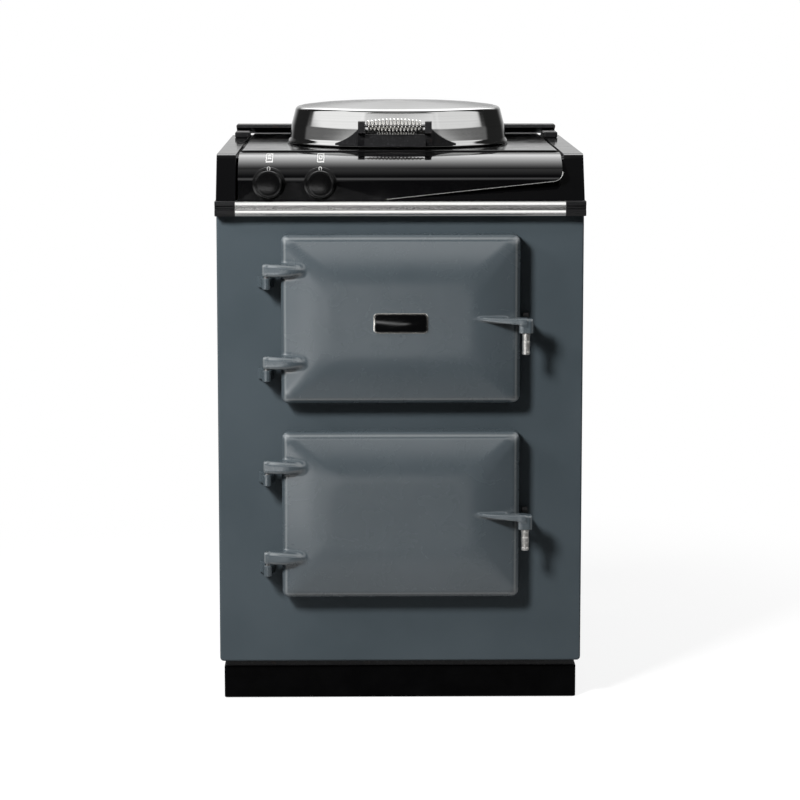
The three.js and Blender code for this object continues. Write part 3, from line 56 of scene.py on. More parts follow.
class Wiring:
    """A node tree with a few short ways to add to it."""

    def __init__(self, tree):
        self.tree = tree

    def add(self, kind, inputs=(), **settings):
        node = self.tree.nodes.new(kind)
        for setting, value in settings.items():
            setattr(node, setting, value)
        for socket, value in dict(inputs).items():
            self.feed(node.inputs[socket], value)
        return node

    def feed(self, socket, value):
        if isinstance(value, bpy.types.NodeSocket):
            self.tree.links.new(value, socket)
        else:
            socket.default_value = value

    def calc(self, operation, first, second=0.0):
        node = self.add("ShaderNodeMath", operation=operation)
        self.feed(node.inputs[0], first)
        self.feed(node.inputs[1], second)
        return node.outputs["Value"]

    def ramp(self, value, low, high):
        """Smooth step from 0 to 1."""
        node = self.add("ShaderNodeMapRange", {
            "Value": value, "From Min": low, "From Max": high,
        }, interpolation_type="SMOOTHSTEP")
        return node.outputs["Result"]


class Shader(Wiring):
    """A Principled material."""

    def __init__(self, name, **values):
        self.material = bpy.data.materials.new(name)
        self.material.use_nodes = True
        super().__init__(self.material.node_tree)
        self.surface = self.tree.nodes["Principled BSDF"]
        for socket, value in values.items():
            self.surface.inputs[socket.replace("_", " ")].default_value = value
        self.place = self.add("ShaderNodeTexCoord").outputs["Object"]

    def stretched(self, x, y, z):
        mapping = self.add("ShaderNodeMapping", {"Vector": self.place, "Scale": (x, y, z)})
        return mapping.outputs["Vector"]

    def noise(self, scale, detail=2.0, roughness=0.5, place=None, distortion=0.0):
        node = self.add("ShaderNodeTexNoise", {
            "Vector": place or self.place, "Scale": scale, "Detail": detail,
            "Roughness": roughness, "Distortion": distortion,
        })
        return node.outputs["Fac"]

    def cells(self, scale, output):
        node = self.add("ShaderNodeTexVoronoi", {"Vector": self.place, "Scale": scale})
        return node.outputs[output]

    def span(self, value, low, high, to_low=0.0, to_high=1.0):
        node = self.add("ShaderNodeMapRange", {
            "Value": value, "From Min": low, "From Max": high, "To Min": to_low, "To Max": to_high,
        })
        return node.outputs["Result"]

    def tint(self, factor, first, second):
        node = self.add("ShaderNodeMix", data_type="RGBA")
        self.feed(node.inputs["Factor"], factor)
        self.feed(node.inputs[MIX_FIRST], first)
        self.feed(node.inputs[MIX_SECOND], second)
        return node.outputs[MIX_RESULT]

    def bump(self, height, distance, strength, below=None):
        """Normal from a height; distance is its relief in metres."""
        node = self.add("ShaderNodeBump", {
            "Height": height, "Distance": distance, "Strength": strength,
        })
        if below:
            self.feed(node.inputs["Normal"], below)
        return node.outputs["Normal"]

    def wire(self, **sockets):
        for socket, value in sockets.items():
            self.feed(self.surface.inputs[socket.replace("_", " ")], value)
        return self.material


def rgb(red, green, blue):
    return (red, green, blue, 1.0)


def scaled(colour, factor, lift=0.0):
    return tuple(part * factor + lift for part in colour[:3]) + (1.0,)


def vitreous_enamel(name, colour, dark, roughness, coat=0.0, peel=1.0, gloss=0.5):
    """Glass fused on iron: faint orange peel, soft pooling, and a pale tint on crests that is a
    painted highlight, partly also enamel running thin there.
    """
    shader = Shader(
        name, Coat_Weight=coat, Coat_Roughness=0.24, Coat_IOR=1.7, Specular_IOR_Level=gloss
    )
    pooling = shader.noise(7.0, 3.0, 0.55)
    tone = shader.tint(shader.span(pooling, 0.32, 0.68), dark, colour)
    # Pale tint where the mesh marks crests: painted highlight along the door's edges, partly also
    # the paler thin enamel there.
    crest_highlight = shader.add("ShaderNodeAttribute", attribute_name="crest_highlight").outputs["Fac"]
    tone = shader.tint(shader.calc("MULTIPLY", crest_highlight, 0.42), tone, rgb(0.36, 0.38, 0.385))
    smears = shader.noise(22.0, 4.0, 0.6, distortion=0.6)
    rough = shader.span(smears, 0.3, 0.7, roughness - 0.03, roughness + 0.04)
    waves = shader.bump(shader.noise(30.0, 2.0, 0.5), 0.0005 * peel, 0.3)
    skin = shader.bump(shader.noise(330.0, 2.0, 0.5), 0.00008 * peel, 0.4, waves)
    return shader.wire(Base_Color=tone, Roughness=rough, Normal=skin)


def brushed_steel(name, colour, roughness, along="x"):
    """Steel with fine straight scratches along one axis."""
    shader = Shader(name, Metallic=1.0)
    scale = {"x": (5.0, 2600.0, 2600.0), "z": (2600.0, 2600.0, 5.0)}[along]
    hair = shader.noise(1.0, 3.0, 0.7, shader.stretched(*scale))
    cloud = shader.noise(12.0, 2.0)
    rough = shader.calc(
        "ADD",
        shader.span(hair, 0.2, 0.8, roughness - 0.015, roughness + 0.02),
        shader.span(cloud, 0.3, 0.7, -0.01, 0.02),
    )
    tone = shader.tint(shader.span(hair, 0.25, 0.75), scaled(colour, 0.95), colour)
    return shader.wire(Base_Color=tone, Roughness=rough, Normal=shader.bump(hair, 0.00001, 0.12))


def spun_steel(name, centre, colour, roughness):
    """Steel polished on a lathe: rings round a centre, satin on top and polished at the side, with
    painted shade darkening the top disc.
    """
    shader = Shader(name, Metallic=1.0, Anisotropic=0.8, Anisotropic_Rotation=0.25)
    apart = shader.add("ShaderNodeVectorMath", {0: shader.place, 1: centre}, operation="SUBTRACT")
    flat = shader.add(
        "ShaderNodeVectorMath", {0: apart.outputs[0], 1: (1.0, 1.0, 0.0)}, operation="MULTIPLY"
    )
    reach = shader.add("ShaderNodeVectorMath", {0: flat.outputs[0]}, operation="LENGTH")
    reach = reach.outputs["Value"]
    rings = shader.add("ShaderNodeTexNoise", {
        "W": shader.calc("MULTIPLY", reach, 420.0),
        "Scale": 1.0,
        "Detail": 3.0,
        "Roughness": 0.7,
    }, noise_dimensions="1D").outputs["Fac"]
    smudges = shader.noise(16.0, 4.0, 0.6, distortion=0.4)
    bright = shader.tint(shader.span(rings, 0.3, 0.7), scaled(colour, 0.86), colour)
    # The top disc, inside the rim, takes a darker copy of the steel's colour: painted shade; the
    # rim and sides keep the full colour.
    tone = shader.tint(shader.span(reach, 0.162, 0.175), scaled(colour, 0.42), bright)
    polish = shader.span(reach, 0.164, 0.174, roughness, 0.25 * roughness)
    rough = shader.calc("ADD", polish, shader.span(rings, 0.25, 0.75, -0.015, 0.02))
    rough = shader.calc("ADD", rough, shader.span(smudges, 0.35, 0.7, -0.01, 0.03))
    around = shader.add("ShaderNodeTangent", direction_type="RADIAL", axis="Z")
    return shader.wire(
        Base_Color=tone, Roughness=rough, Normal=shader.bump(rings, 0.00002, 0.15),
        Tangent=around.outputs["Tangent"],
    )


def plated(name, colour, roughness):
    """Bright plating with faint hairlines and finger smears."""
    shader = Shader(name, Metallic=1.0)
    hair = shader.noise(1.0, 2.0, 0.6, shader.stretched(900.0, 900.0, 40.0))
    smears = shader.noise(70.0, 3.0, 0.6)
    rough = shader.calc(
        "ADD",
        shader.span(smears, 0.35, 0.7, roughness - 0.02, roughness + 0.06),
        shader.span(hair, 0.4, 0.8, 0.0, 0.03),
    )
    tone = shader.tint(shader.span(smears, 0.3, 0.7), colour, scaled(colour, 0.9))
    return shader.wire(Base_Color=tone, Roughness=rough, Normal=shader.bump(hair, 0.00002, 0.2))


def moulded(name, colour, roughness, grain=650.0, specular=0.5):
    """Moulded plastic or paint with a fine pebbled skin."""
    shader = Shader(name, Specular_IOR_Level=specular)
    pebble = shader.noise(grain, 2.0, 0.5)
    drift = shader.noise(30.0, 3.0)
    tone = shader.tint(shader.span(drift, 0.3, 0.75), colour, scaled(colour, 1.5, 0.001))
    rough = shader.span(pebble, 0.3, 0.7, roughness - 0.04, roughness + 0.06)
    return shader.wire(Base_Color=tone, Roughness=rough, Normal=shader.bump(pebble, 0.00008, 0.3))


def raw_iron(name, colour, roughness, metal=0.6):
    """Bare iron with machining marks, stains and a little bloom of rust."""
    shader = Shader(name, Metallic=metal)
    grain = shader.noise(260.0, 4.0, 0.7)
    stains = shader.noise(22.0, 5.0, 0.65, distortion=0.8)
    rust = shader.tint(shader.span(stains, 0.6, 0.8, 0.0, 0.5), colour, rgb(0.09, 0.05, 0.032))
    tone = shader.tint(shader.span(grain, 0.55, 0.8, 0.0, 0.35), rust, rgb(0.16, 0.16, 0.165))
    rough = shader.span(stains, 0.3, 0.7, roughness - 0.08, roughness + 0.1)
    return shader.wire(Base_Color=tone, Roughness=rough, Normal=shader.bump(grain, 0.0002, 0.5))


def zinc_sheet(name):
    """Galvanised sheet with its spangle of crystals."""
    shader = Shader(name, Metallic=0.85)
    warp = shader.noise(40.0, 2.0)
    crystals = shader.cells(75.0, "Color")
    shade = shader.add("ShaderNodeRGBToBW", {"Color": crystals}).outputs["Val"]
    tone = shader.tint(shade, rgb(0.42, 0.43, 0.44), rgb(0.5, 0.512, 0.525))
    rough = shader.calc(
        "ADD",
        shader.span(shade, 0.0, 1.0, 0.4, 0.5),
        shader.span(warp, 0.3, 0.7, -0.03, 0.05),
    )
    return shader.wire(Base_Color=tone, Roughness=rough, Normal=shader.bump(warp, 0.0004, 0.3))


def oven_enamel(name):
    """Dark oven enamel with pale flecks."""
    shader = Shader(name, Specular_IOR_Level=0.45)
    flecks = shader.cells(420.0, "Distance")
    gather = shader.noise(150.0, 2.0)
    white = shader.calc(
        "MULTIPLY", shader.span(flecks, 0.16, 0.1), shader.span(gather, 0.5, 0.6)
    )
    bake = shader.noise(14.0, 4.0, 0.6)
    cold, burnt = rgb(0.012, 0.013, 0.016), rgb(0.026, 0.023, 0.021)
    dark = shader.tint(shader.span(bake, 0.3, 0.75), cold, burnt)
    tone = shader.tint(white, dark, rgb(0.26, 0.27, 0.29))
    rough = shader.span(bake, 0.3, 0.7, 0.24, 0.42)
    return shader.wire(Base_Color=tone, Roughness=rough, Normal=shader.bump(gather, 0.0002, 0.4))


def rope(name):
    """Woven glass-fibre rope."""
    shader = Shader(name, Roughness=0.95, Sheen_Weight=0.25, Sheen_Roughness=0.5)
    threads = shader.noise(1500.0, 3.0, 0.7)
    soot = shader.noise(60.0, 3.0)
    base = shader.tint(shader.span(soot, 0.4, 0.75), rgb(0.16, 0.15, 0.13), rgb(0.035, 0.033, 0.03))
    tone = shader.tint(shader.span(threads, 0.5, 0.8, 0.0, 0.5), base, rgb(0.34, 0.32, 0.28))
    return shader.wire(Base_Color=tone, Normal=shader.bump(threads, 0.0005, 0.8))


def wool(name):
    """Matted mineral fibre."""
    shader = Shader(name, Roughness=1.0, Sheen_Weight=0.3)
    fibres = shader.noise(1.0, 5.0, 0.75, shader.stretched(90.0, 700.0, 260.0), 1.2)
    tufts = shader.noise(35.0, 4.0)
    base = shader.tint(shader.span(tufts, 0.3, 0.7), rgb(0.34, 0.27, 0.15), rgb(0.5, 0.43, 0.27))
    tone = shader.tint(shader.span(fibres, 0.45, 0.7, 0.0, 0.6), base, rgb(0.66, 0.6, 0.42))
    return shader.wire(Base_Color=tone, Normal=shader.bump(fibres, 0.002, 0.8))


LID_CENTRE = (0.0, 0.041, 0.909)
SLATE = rgb(0.070, 0.088, 0.100)
SLATE_DEEP = rgb(0.060, 0.077, 0.088)
BLACK = rgb(0.0022, 0.0022, 0.0025)
BLACK_DEEP = rgb(0.0015, 0.0015, 0.0018)

LOOKS = {slot: look(slot, *values) for slot, look, *values in (
    ("slate_casting", vitreous_enamel, SLATE, SLATE_DEEP, 0.26, 1.0),
    ("slate_panel", vitreous_enamel, SLATE, SLATE_DEEP, 0.38, 0.0, 0.5, 0.18),
    ("black_enamel", vitreous_enamel, BLACK, BLACK_DEEP, 0.08, 0.0, 0.25, 0.3),
    ("black_gloss", vitreous_enamel, BLACK, BLACK_DEEP, 0.09, 0.0, 0.2),
    ("black_iron", raw_iron, rgb(0.012, 0.012, 0.013), 0.42, 0.2),
    ("black_plastic", moulded, rgb(0.006, 0.006, 0.0065), 0.34),
    ("knob_gloss", moulded, rgb(0.002, 0.002, 0.0021), 0.12, 900.0, 0.3),
    ("plinth_paint", moulded, rgb(0.001, 0.001, 0.0011), 0.4, 500.0, 0.04),
    ("stainless", brushed_steel, rgb(0.86, 0.855, 0.84), 0.16),
    ("spun_steel", spun_steel, LID_CENTRE, rgb(0.56, 0.56, 0.555), 0.33),
    ("polished_chrome", plated, rgb(0.88, 0.865, 0.83), 0.17),
    ("pin_steel", plated, rgb(0.5, 0.5, 0.5), 0.3),
    ("bare_iron", raw_iron, rgb(0.055, 0.054, 0.053), 0.45),
    ("oven_enamel", oven_enamel),
    ("shelf_wire", plated, rgb(0.62, 0.61, 0.6), 0.22),
    ("aluminised_sheet", brushed_steel, rgb(0.55, 0.555, 0.56), 0.42, "z"),
    ("galvanised_steel", zinc_sheet),
    ("rope_seal", rope),
    ("mineral_wool", wool),
)}
PRINT = moulded("printed_white", rgb(0.55, 0.55, 0.54), 0.4, 900.0)
SATIN = plated("satin_chrome", rgb(0.9, 0.885, 0.85), 0.34)
PLATE = vitreous_enamel("slate_plate", SLATE, SLATE_DEEP, 0.4, 0.0, 0.6, 0.2)

SLOT_OF = {part["node"]: part["material_slot"] for part in frame["record"]["subparts"]}
BODY_OF = {
    node: body
    for body, nodes in frame["record"]["behaviour"]["bodies"].items()
    for node in nodes
}


# ---------------------------------------------------------------- mesh helpers

def placed(name, data):
    thing = bpy.data.objects.new(name, data)
    bpy.context.scene.collection.objects.link(thing)
    return thing


def shade(mesh, limit, outwards=False):
    """Smooth faces, with edges sharper than the limit left hard."""
    bm = bmesh.new()
    bm.from_mesh(mesh)
    for face in bm.faces:
        face.smooth = True
    for edge in bm.edges:
        edge.smooth = len(edge.link_faces) == 2 and edge.calc_face_angle(0.0) < math.radians(limit)
    if outwards:
        bmesh.ops.recalc_face_normals(bm, faces=bm.faces)
    bm.to_mesh(mesh)
    bm.free()


def piece(mesh, slot, body, replaces=(), material=None):
    """Named after its mesh; without a material of its own it takes that of its slot."""
    thing = placed(mesh.name, mesh)
    mesh.materials.clear()
    mesh.materials.append(material or LOOKS[slot])
    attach(thing, body)
    if replaces:
        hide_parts(*replaces)
    return thing


def mesh_of(name, points, faces, limit=32.0, closed=True):
    """Mesh from points in millimetres; one that is closed gets its faces turned outwards."""
    mesh = bpy.data.meshes.new(name)
    mesh.from_pydata([tuple(float(c) * MM for c in point) for point in points], [], faces)
    mesh.validate()
    shade(mesh, limit, closed)
    return mesh


def circle(radius, steps):
    for step in range(steps):
        turn = 2 * math.pi * step / steps
        yield radius * math.cos(turn), radius * math.sin(turn)


def belt(low, high, count):
    """Quads between two rings of points that start at those numbers."""
    steps = [(step, (step + 1) % count) for step in range(count)]
    return [(low + step, low + after, high + after, high + step) for step, after in steps]


def lathe(name, profile, place, steps=96, limit=32.0):
    """Profile of (radius, height) turned round an axis; place(x, y, height) gives the point."""
    points, rings = [], []
    for radius, height in profile:
        if radius == 0:
            rings.append([len(points)])
            points.append(place(0.0, 0.0, height))
            continue
        rings.append(list(range(len(points), len(points) + steps)))
        points += [place(x, y, height) for x, y in circle(radius, steps)]
    faces = []
    for low, high in zip(rings, rings[1:]):
        for step in range(steps):
            after = (step + 1) % steps
            corners = [
                low[step % len(low)],
                low[after % len(low)],
                high[after % len(high)],
                high[step % len(high)],
            ]
            unique = list(dict.fromkeys(corners))
            if len(unique) > 2:
                faces.append(unique)
    return mesh_of(name, points, faces, limit)


def rounded(profile, radius, steps):
    """Profile with each inner corner turned into a small arc."""
    result = [profile[0]]
    for before, corner, after in zip(profile, profile[1:], profile[2:]):
        before, corner, after = map(np.array, (before, corner, after))
        back, ahead = before - corner, after - corner
        shorter = min(np.linalg.norm(back), np.linalg.norm(ahead))
        reach = min(radius, 0.45 * shorter)
        start = corner + back / np.linalg.norm(back) * reach
        end = corner + ahead / np.linalg.norm(ahead) * reach
        for step in range(steps + 1):
            share = step / steps
            bend = (1 - share) ** 2 * start + 2 * share * (1 - share) * corner + share ** 2 * end
            result.append(tuple(bend))
    result.append(profile[-1])
    return result


def sweep(name, centres, radius, sides=10, closed=False, lobes=0, twist=0.0, bulge=0.0):
    """Tube along points in millimetres, carried round bends without twisting.

    With lobes it is a rope: its section bulges that many times and turns by twist at each point.
    """
    centres = [Vector(centre) for centre in centres]
    count = len(centres)
    across = None
    points, faces = [], []
    for index, centre in enumerate(centres):
        ahead = centres[(index + 1) % count] if closed or index + 1 < count else centre
        behind = centres[index - 1] if closed or index else centre
        along = (ahead - behind).normalized()
        if across is None:
            across = along.cross(Vector((0.0, 0.0, 1.0)))
            if across.length < 0.1:
                across = along.cross(Vector((1.0, 0.0, 0.0)))
        across = (across - along * across.dot(along)).normalized()
        other = along.cross(across)
        for side in range(sides):
            turn = 2 * math.pi * side / sides
            reach = radius + bulge * math.cos(lobes * turn + twist * index)
            points.append(centre + across * reach * math.cos(turn) + other * reach * math.sin(turn))
    for index in range(count if closed else count - 1):
        faces += belt(index * sides, (index + 1) % count * sides, sides)
    if not closed:
        faces.append(tuple(reversed(range(sides))))
        faces.append(tuple(range((count - 1) * sides, count * sides)))
    return mesh_of(name, points, faces, 50.0)


def joined(name, meshes):
    """One mesh from several."""
    bm = bmesh.new()
    for mesh in meshes:
        bm.from_mesh(mesh)
    result = bpy.data.meshes.new(name)
    bm.to_mesh(result)
    bm.free()
    return result


def slab(name, outline, bottom, top, place, edge, steps=2):
    """Flat piece from an outline of (u, v), with rounded upper edges; place(u, v, height)."""
    outline = [np.array(point, float) for point in outline]
    count = len(outline)
    inner = []
    for index, point in enumerate(outline):
        before, after = outline[index - 1], outline[(index + 1) % count]
        first = (point - before) / np.linalg.norm(point - before)
        second = (after - point) / np.linalg.norm(after - point)
        bisector = np.array([-(first + second)[1], (first + second)[0]])
        bisector /= np.linalg.norm(bisector)
        lean = max(0.4, bisector @ np.array([-first[1], first[0]]))
        inner.append(bisector / lean)
    levels = [(0.0, bottom)]
    for step in range(steps + 1):
        turn = math.pi / 2 * step / steps
        levels.append((edge * (1 - math.cos(turn)), top - edge * (1 - math.sin(turn))))
    points, faces = [], []
    for inset, height in levels:
        for point, way in zip(outline, inner):
            points.append(place(*(point + way * inset), height))
    for level in range(len(levels) - 1):
        faces += belt(level * count, (level + 1) * count, count)
    faces.append(tuple(reversed(range(count))))
    faces.append(tuple(range((len(levels) - 1) * count, len(levels) * count)))
    return mesh_of(name, points, faces, 35.0)


def rounded_box(width, height, radius, steps):
    """Outline of (u, v) round the middle, with that many steps in each corner."""
    outline = []
    for corner, (sx, sy) in enumerate(((1, 1), (-1, 1), (-1, -1), (1, -1))):
        for step in range(steps + 1):
            turn = math.pi / 2 * (corner + step / steps)
            outline.append((
                sx * (width / 2 - radius) + radius * math.cos(turn),
                sy * (height / 2 - radius) + radius * math.sin(turn),
            ))
    return outline


def evenly(route, step=None, count=None):
    """Closed route walked in even steps, of a given length or number."""
    points = np.array(route + route[:1], float)
    lengths = np.r_[0.0, np.cumsum(np.linalg.norm(np.diff(points, axis=0), axis=1))]
    count = count or round(lengths[-1] / step)
    walk = np.linspace(0.0, lengths[-1], count, endpoint=False)
    return [tuple(np.interp(s, lengths, points[:, axis]) for axis in range(3)) for s in walk]


WELD = 2e-6             # in metres
FLAT_ANGLE = 0.4        # faces that lie flatter than this to each other become one
HARD_ANGLE = 28.0


def refined(node, width, segments=3, angle=HARD_ANGLE, material=None):
    """Copy of a CAD node with its hard edges rounded."""
    bm = bmesh.new()
    bm.from_mesh(NODES[node].data)
    bmesh.ops.remove_doubles(bm, verts=bm.verts, dist=WELD)
    bmesh.ops.dissolve_limit(
        bm, angle_limit=math.radians(FLAT_ANGLE), verts=bm.verts, edges=bm.edges, delimit=set()
    )
    hard = [
        edge for edge in bm.edges
        if len(edge.link_faces) == 2 and edge.calc_face_angle(0.0) > math.radians(angle)
    ]
    bmesh.ops.bevel(
        bm, geom=hard, offset=width * MM, segments=segments, profile=0.5,
        affect="EDGES", clamp_overlap=True, miter_outer="ARC",
    )
    mesh = bpy.data.meshes.new(node + "_finished")
    bm.to_mesh(mesh)
    bm.free()
    shade(mesh, 40.0)
    thing = piece(mesh, SLOT_OF[node], BODY_OF[node], (node,), material)
    evened = thing.modifiers.new("even_shading", "WEIGHTED_NORMAL")
    evened.keep_sharp = True
    evened.weight = 100


# ---------------------------------------------------------------- cast doors
# Millimetres from the middle of the door; depth is ahead of the middle of the cooker.

DOOR_HALF = (193.7, 137.5)
DOOR_LEVEL = {"upper": 641.5, "lower": 319.9}
DOOR_BACK, DOOR_EDGE, DOOR_CROWN = 273.0, 306.0, 11.0
SHOULDER, SLOPE = 8.0, 76.0             # widths of the bevel and of the slope inside it
PIN_X, PIN_DEPTH, BARREL = -217.0, 305.0, 7.0
PIN_BORE, PIN_BORE_TOP = 3.9, 5.0
LUGS = {"top": 80.0, "bottom": -70.0}
LUG_HEIGHT, LUG_REACH, LUG_BULGE, LUG_CORNER = 22.0, 67.0, 9.0, 7.5
LUG_FALL = 16.0                         # length over which a lug dies into the face
LUG_FILLET, ARM_FILLET = 7.0, 4.0
ARM_TIP, ARM_END, ARM_TOP, ARM_HEIGHT = 121.7, 202.2, 4.0, 11.0
ARM_FRONT, ARM_SWELL = 315.0, 18.0
BOSS, BOSS_HALF, BOSS_CORNER = (202.2, 322.0), (11.5, 11.0), 6.5
BOSS_FOOT, SPIGOT_BORE, SPIGOT_TOP = -20.0, 3.3, -8.0
SEAT_HALF, SEAT_DEPTH = (183.9, 127.7), 3.2
# Where the painted highlight along the door's shoulder lies, and how far it spreads.
CREST_INSET, CREST_REACH = SHOULDER - 1.5, 3.0
ROPE_SIZE, ROPE_CORNER = (349.4, 253.4), 15.0
ROPE_DEPTH, ROPE_RADIUS, ROPE_STEP = 270.0, 2.35, 2.2


def soft_max(first, second, blend):
    """Greater of two fields, rounded where they meet."""
    meet = np.maximum(blend - np.abs(first - second), 0.0) / blend
    return np.maximum(first, second) + meet * meet * blend / 4


def soft_min(first, second, blend):
    return -soft_max(-first, -second, blend)


def rounded_bar(u, v, half_u, half_v, corner):
    """Distance to a rounded rectangle, less than zero inside."""
    over_u = np.abs(u) - half_u + corner
    over_v = np.abs(v) - half_v + corner
    outside = np.hypot(np.maximum(over_u, 0.0), np.maximum(over_v, 0.0))
    return outside + np.minimum(np.maximum(over_u, over_v), 0.0) - corner


def door_slab(x, depth, z):
    in_x, in_z = DOOR_HALF[0] - np.abs(x), DOOR_HALF[1] - np.abs(z)
    nearest = np.maximum(np.minimum(in_x, in_z), 0.0)
    inset = soft_min(in_x, in_z, 13.0 + 0.22 * nearest)
    climb = np.clip((inset - SHOULDER) / SLOPE, 0.0, 1.0)
    face = depth - DOOR_EDGE - DOOR_CROWN * np.sin(climb * math.pi / 2)
    bevel = (depth - inset - DOOR_EDGE + SHOULDER) * math.sqrt(0.5)
    front = soft_max(face, bevel, 2.4)
    return soft_max(front, -inset, 2.0)


def door_lug(x, depth, z, level):
    share = np.clip((x - PIN_X) / LUG_REACH, 0.0, 1.1)
    front = PIN_DEPTH + BARREL + LUG_BULGE * np.sin(np.minimum(share, 1.0) * math.pi)
    back = PIN_DEPTH - BARREL + 1.0
    half = LUG_HEIGHT / 2 * (1 - 0.42 * share * share)
    bar = rounded_bar(
        depth - (front + back) / 2, z - level, (front - back) / 2, half, LUG_CORNER
    )
    bar = soft_max(bar, x - PIN_X - LUG_REACH, LUG_FALL)
    bar = soft_max(bar, PIN_X - x, 1.0)
    radial = np.hypot(x - PIN_X, depth - PIN_DEPTH) - BARREL
    barrel = soft_max(radial, np.abs(z - level) - LUG_HEIGHT / 2, BARREL)
    return soft_min(bar, barrel, 2.0)


def door_handle(x, depth, z):
    share = np.clip((x - ARM_TIP) / (ARM_END - ARM_TIP), 0.0, 1.0)
    front = ARM_FRONT + ARM_SWELL * np.sin(share * math.pi / 2)
    back = DOOR_EDGE + 7.0 * share
    height = ARM_HEIGHT * (0.3 + 0.7 * share ** 0.7)
    arm = rounded_bar(
        depth - (front + back) / 2, z - ARM_TOP + height / 2, (front - back) / 2, height / 2, 2.0
    )
    arm = soft_max(arm, ARM_TIP - x, 3.0)
    arm = soft_max(arm, x - ARM_END, 1.0)
    block = rounded_bar(x - BOSS[0], depth - BOSS[1], *BOSS_HALF, BOSS_CORNER)
    block = soft_max(block, z - ARM_TOP, 5.0)
    block = soft_max(block, BOSS_FOOT - z, 1.5)
    return soft_min(arm, block, ARM_FILLET)


def casting_field(x, y, z):
    """Field of the whole casting, less than zero inside."""
    depth = -y
    solid = door_slab(x, depth, z)
    for level in LUGS.values():
        solid = soft_min(solid, door_lug(x, depth, z, level), LUG_FILLET)
    solid = soft_min(solid, door_handle(x, depth, z), ARM_FILLET)
    for level in LUGS.values():
        bore = np.hypot(x - PIN_X, depth - PIN_DEPTH) - PIN_BORE
        bore = np.maximum(bore, z - level - PIN_BORE_TOP)
        solid = np.maximum(solid, -bore)
    spigot = np.hypot(x - BOSS[0], depth - BOSS[1]) - SPIGOT_BORE
    solid = np.maximum(solid, -np.maximum(spigot, z - SPIGOT_TOP))
    seat = np.minimum(SEAT_HALF[0] - np.abs(x), SEAT_HALF[1] - np.abs(z))
    rear = np.where(seat > 0, DOOR_BACK + SEAT_DEPTH, DOOR_BACK)
    return np.maximum(solid, rear - depth)


def stations(spans):
    """Grid lines from (start, end, step) spans that follow each other."""
    lines = []
    for start, end, step in spans:
        count = max(1, round((end - start) / step))
        lines.extend(np.linspace(start, end, count, endpoint=False))
    return np.array(lines + [spans[-1][1]])


def surface_net(field, xs, ys, zs):
    """Quads on the zero surface of a field, each point the mean of where its cell's edges cross it.
    """
    grid = np.stack(np.meshgrid(xs, ys, zs, indexing="ij"), -1)
    values = field(grid[..., 0], grid[..., 1], grid[..., 2])
    inside = values < 0
    cells = tuple(n - 1 for n in values.shape)

    def corner(offsets):
        return tuple(slice(o, o + n) for o, n in zip(offsets, cells))

    total = np.zeros(cells + (3,))
    count = np.zeros(cells)
    for axis in range(3):
        for others in itertools.product((0, 1), repeat=2):
            first, second = (
                corner(others[:axis] + (end,) + others[axis:]) for end in (0, 1)
            )
            crossed = inside[first] != inside[second]
            gap = np.where(crossed, values[first] - values[second], 1.0)
            share = (values[first] / gap)[..., None]
            point = grid[first] + share * (grid[second] - grid[first])
            total += np.where(crossed[..., None], point, 0.0)
            count += crossed
    used = count > 0
    index = np.full(cells, -1)
    index[used] = np.arange(used.sum())
    points = total[used] / count[used][:, None]
    quads = []
    for axis in range(3):
        others = [(axis + 1) % 3, (axis + 2) % 3]
        low = [slice(None)] * 3
        high = [slice(None)] * 3
        low[axis], high[axis] = slice(0, -1), slice(1, None)
        before, after = inside[tuple(low)], inside[tuple(high)]
        for found, order in ((before & ~after, 1), (~before & after, -1)):
            places = np.argwhere(found)
            for other in others:
                places = places[(places[:, other] > 0) & (places[:, other] < cells[other])]
            around = []
            for step in ((-1, -1), (0, -1), (0, 0), (-1, 0)):
                spot = places.copy()
                spot[:, others] += step
                around.append(index[tuple(spot.T)])
            quads.append(np.stack(around, 1)[:, ::order])
    return points, np.concatenate(quads)


def slope_of(field, points, reach=0.05):
    """Gradient of the field at each point, from steps of that reach to both sides."""
    slope = np.zeros_like(points)
    for axis in range(3):
        step = np.zeros(3)
        step[axis] = reach
        ahead, behind = points + step, points - step
        slope[:, axis] = (field(*ahead.T) - field(*behind.T)) / (2 * reach)
    return slope


SETTLING_ROUNDS, LONGEST_MOVE = 4, 0.6


def settled(field, points):
    """Points moved down the slope of the field onto its zero surface."""
    points = points.copy()
    for _ in range(SETTLING_ROUNDS):
        slope = slope_of(field, points)
        size = np.maximum((slope ** 2).sum(1), 0.05)
        move = (field(*points.T) / size)[:, None] * slope
        length = np.linalg.norm(move, axis=1, keepdims=True)
        points -= move * np.minimum(1.0, LONGEST_MOVE / np.maximum(length, 1e-9))
    return points


def door_shape():
    """Net of the casting, fine along its edges and round the lugs and the handle."""
    fine, wide = ((1.4, 5.0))
    xs = stations([
        (-227.0, -148.0, fine), (-148.0, 118.0, wide), (118.0, 182.0, fine * 1.4),
        (182.0, 217.0, fine),
    ])
    ys = stations([(-336.0, -292.0, fine), (-292.0, -271.0, fine * 1.5)])
    zs = stations([
        (-140.0, -122.0, fine), (-122.0, -86.0, wide), (-86.0, -54.0, fine), (-54.0, -25.0, wide),
        (-25.0, 9.0, fine), (9.0, 64.0, wide), (64.0, 96.0, fine), (96.0, 122.0, wide),
        (122.0, 140.0, fine),
    ])
    points, quads = surface_net(casting_field, xs, ys, zs)
    return settled(casting_field, points), quads


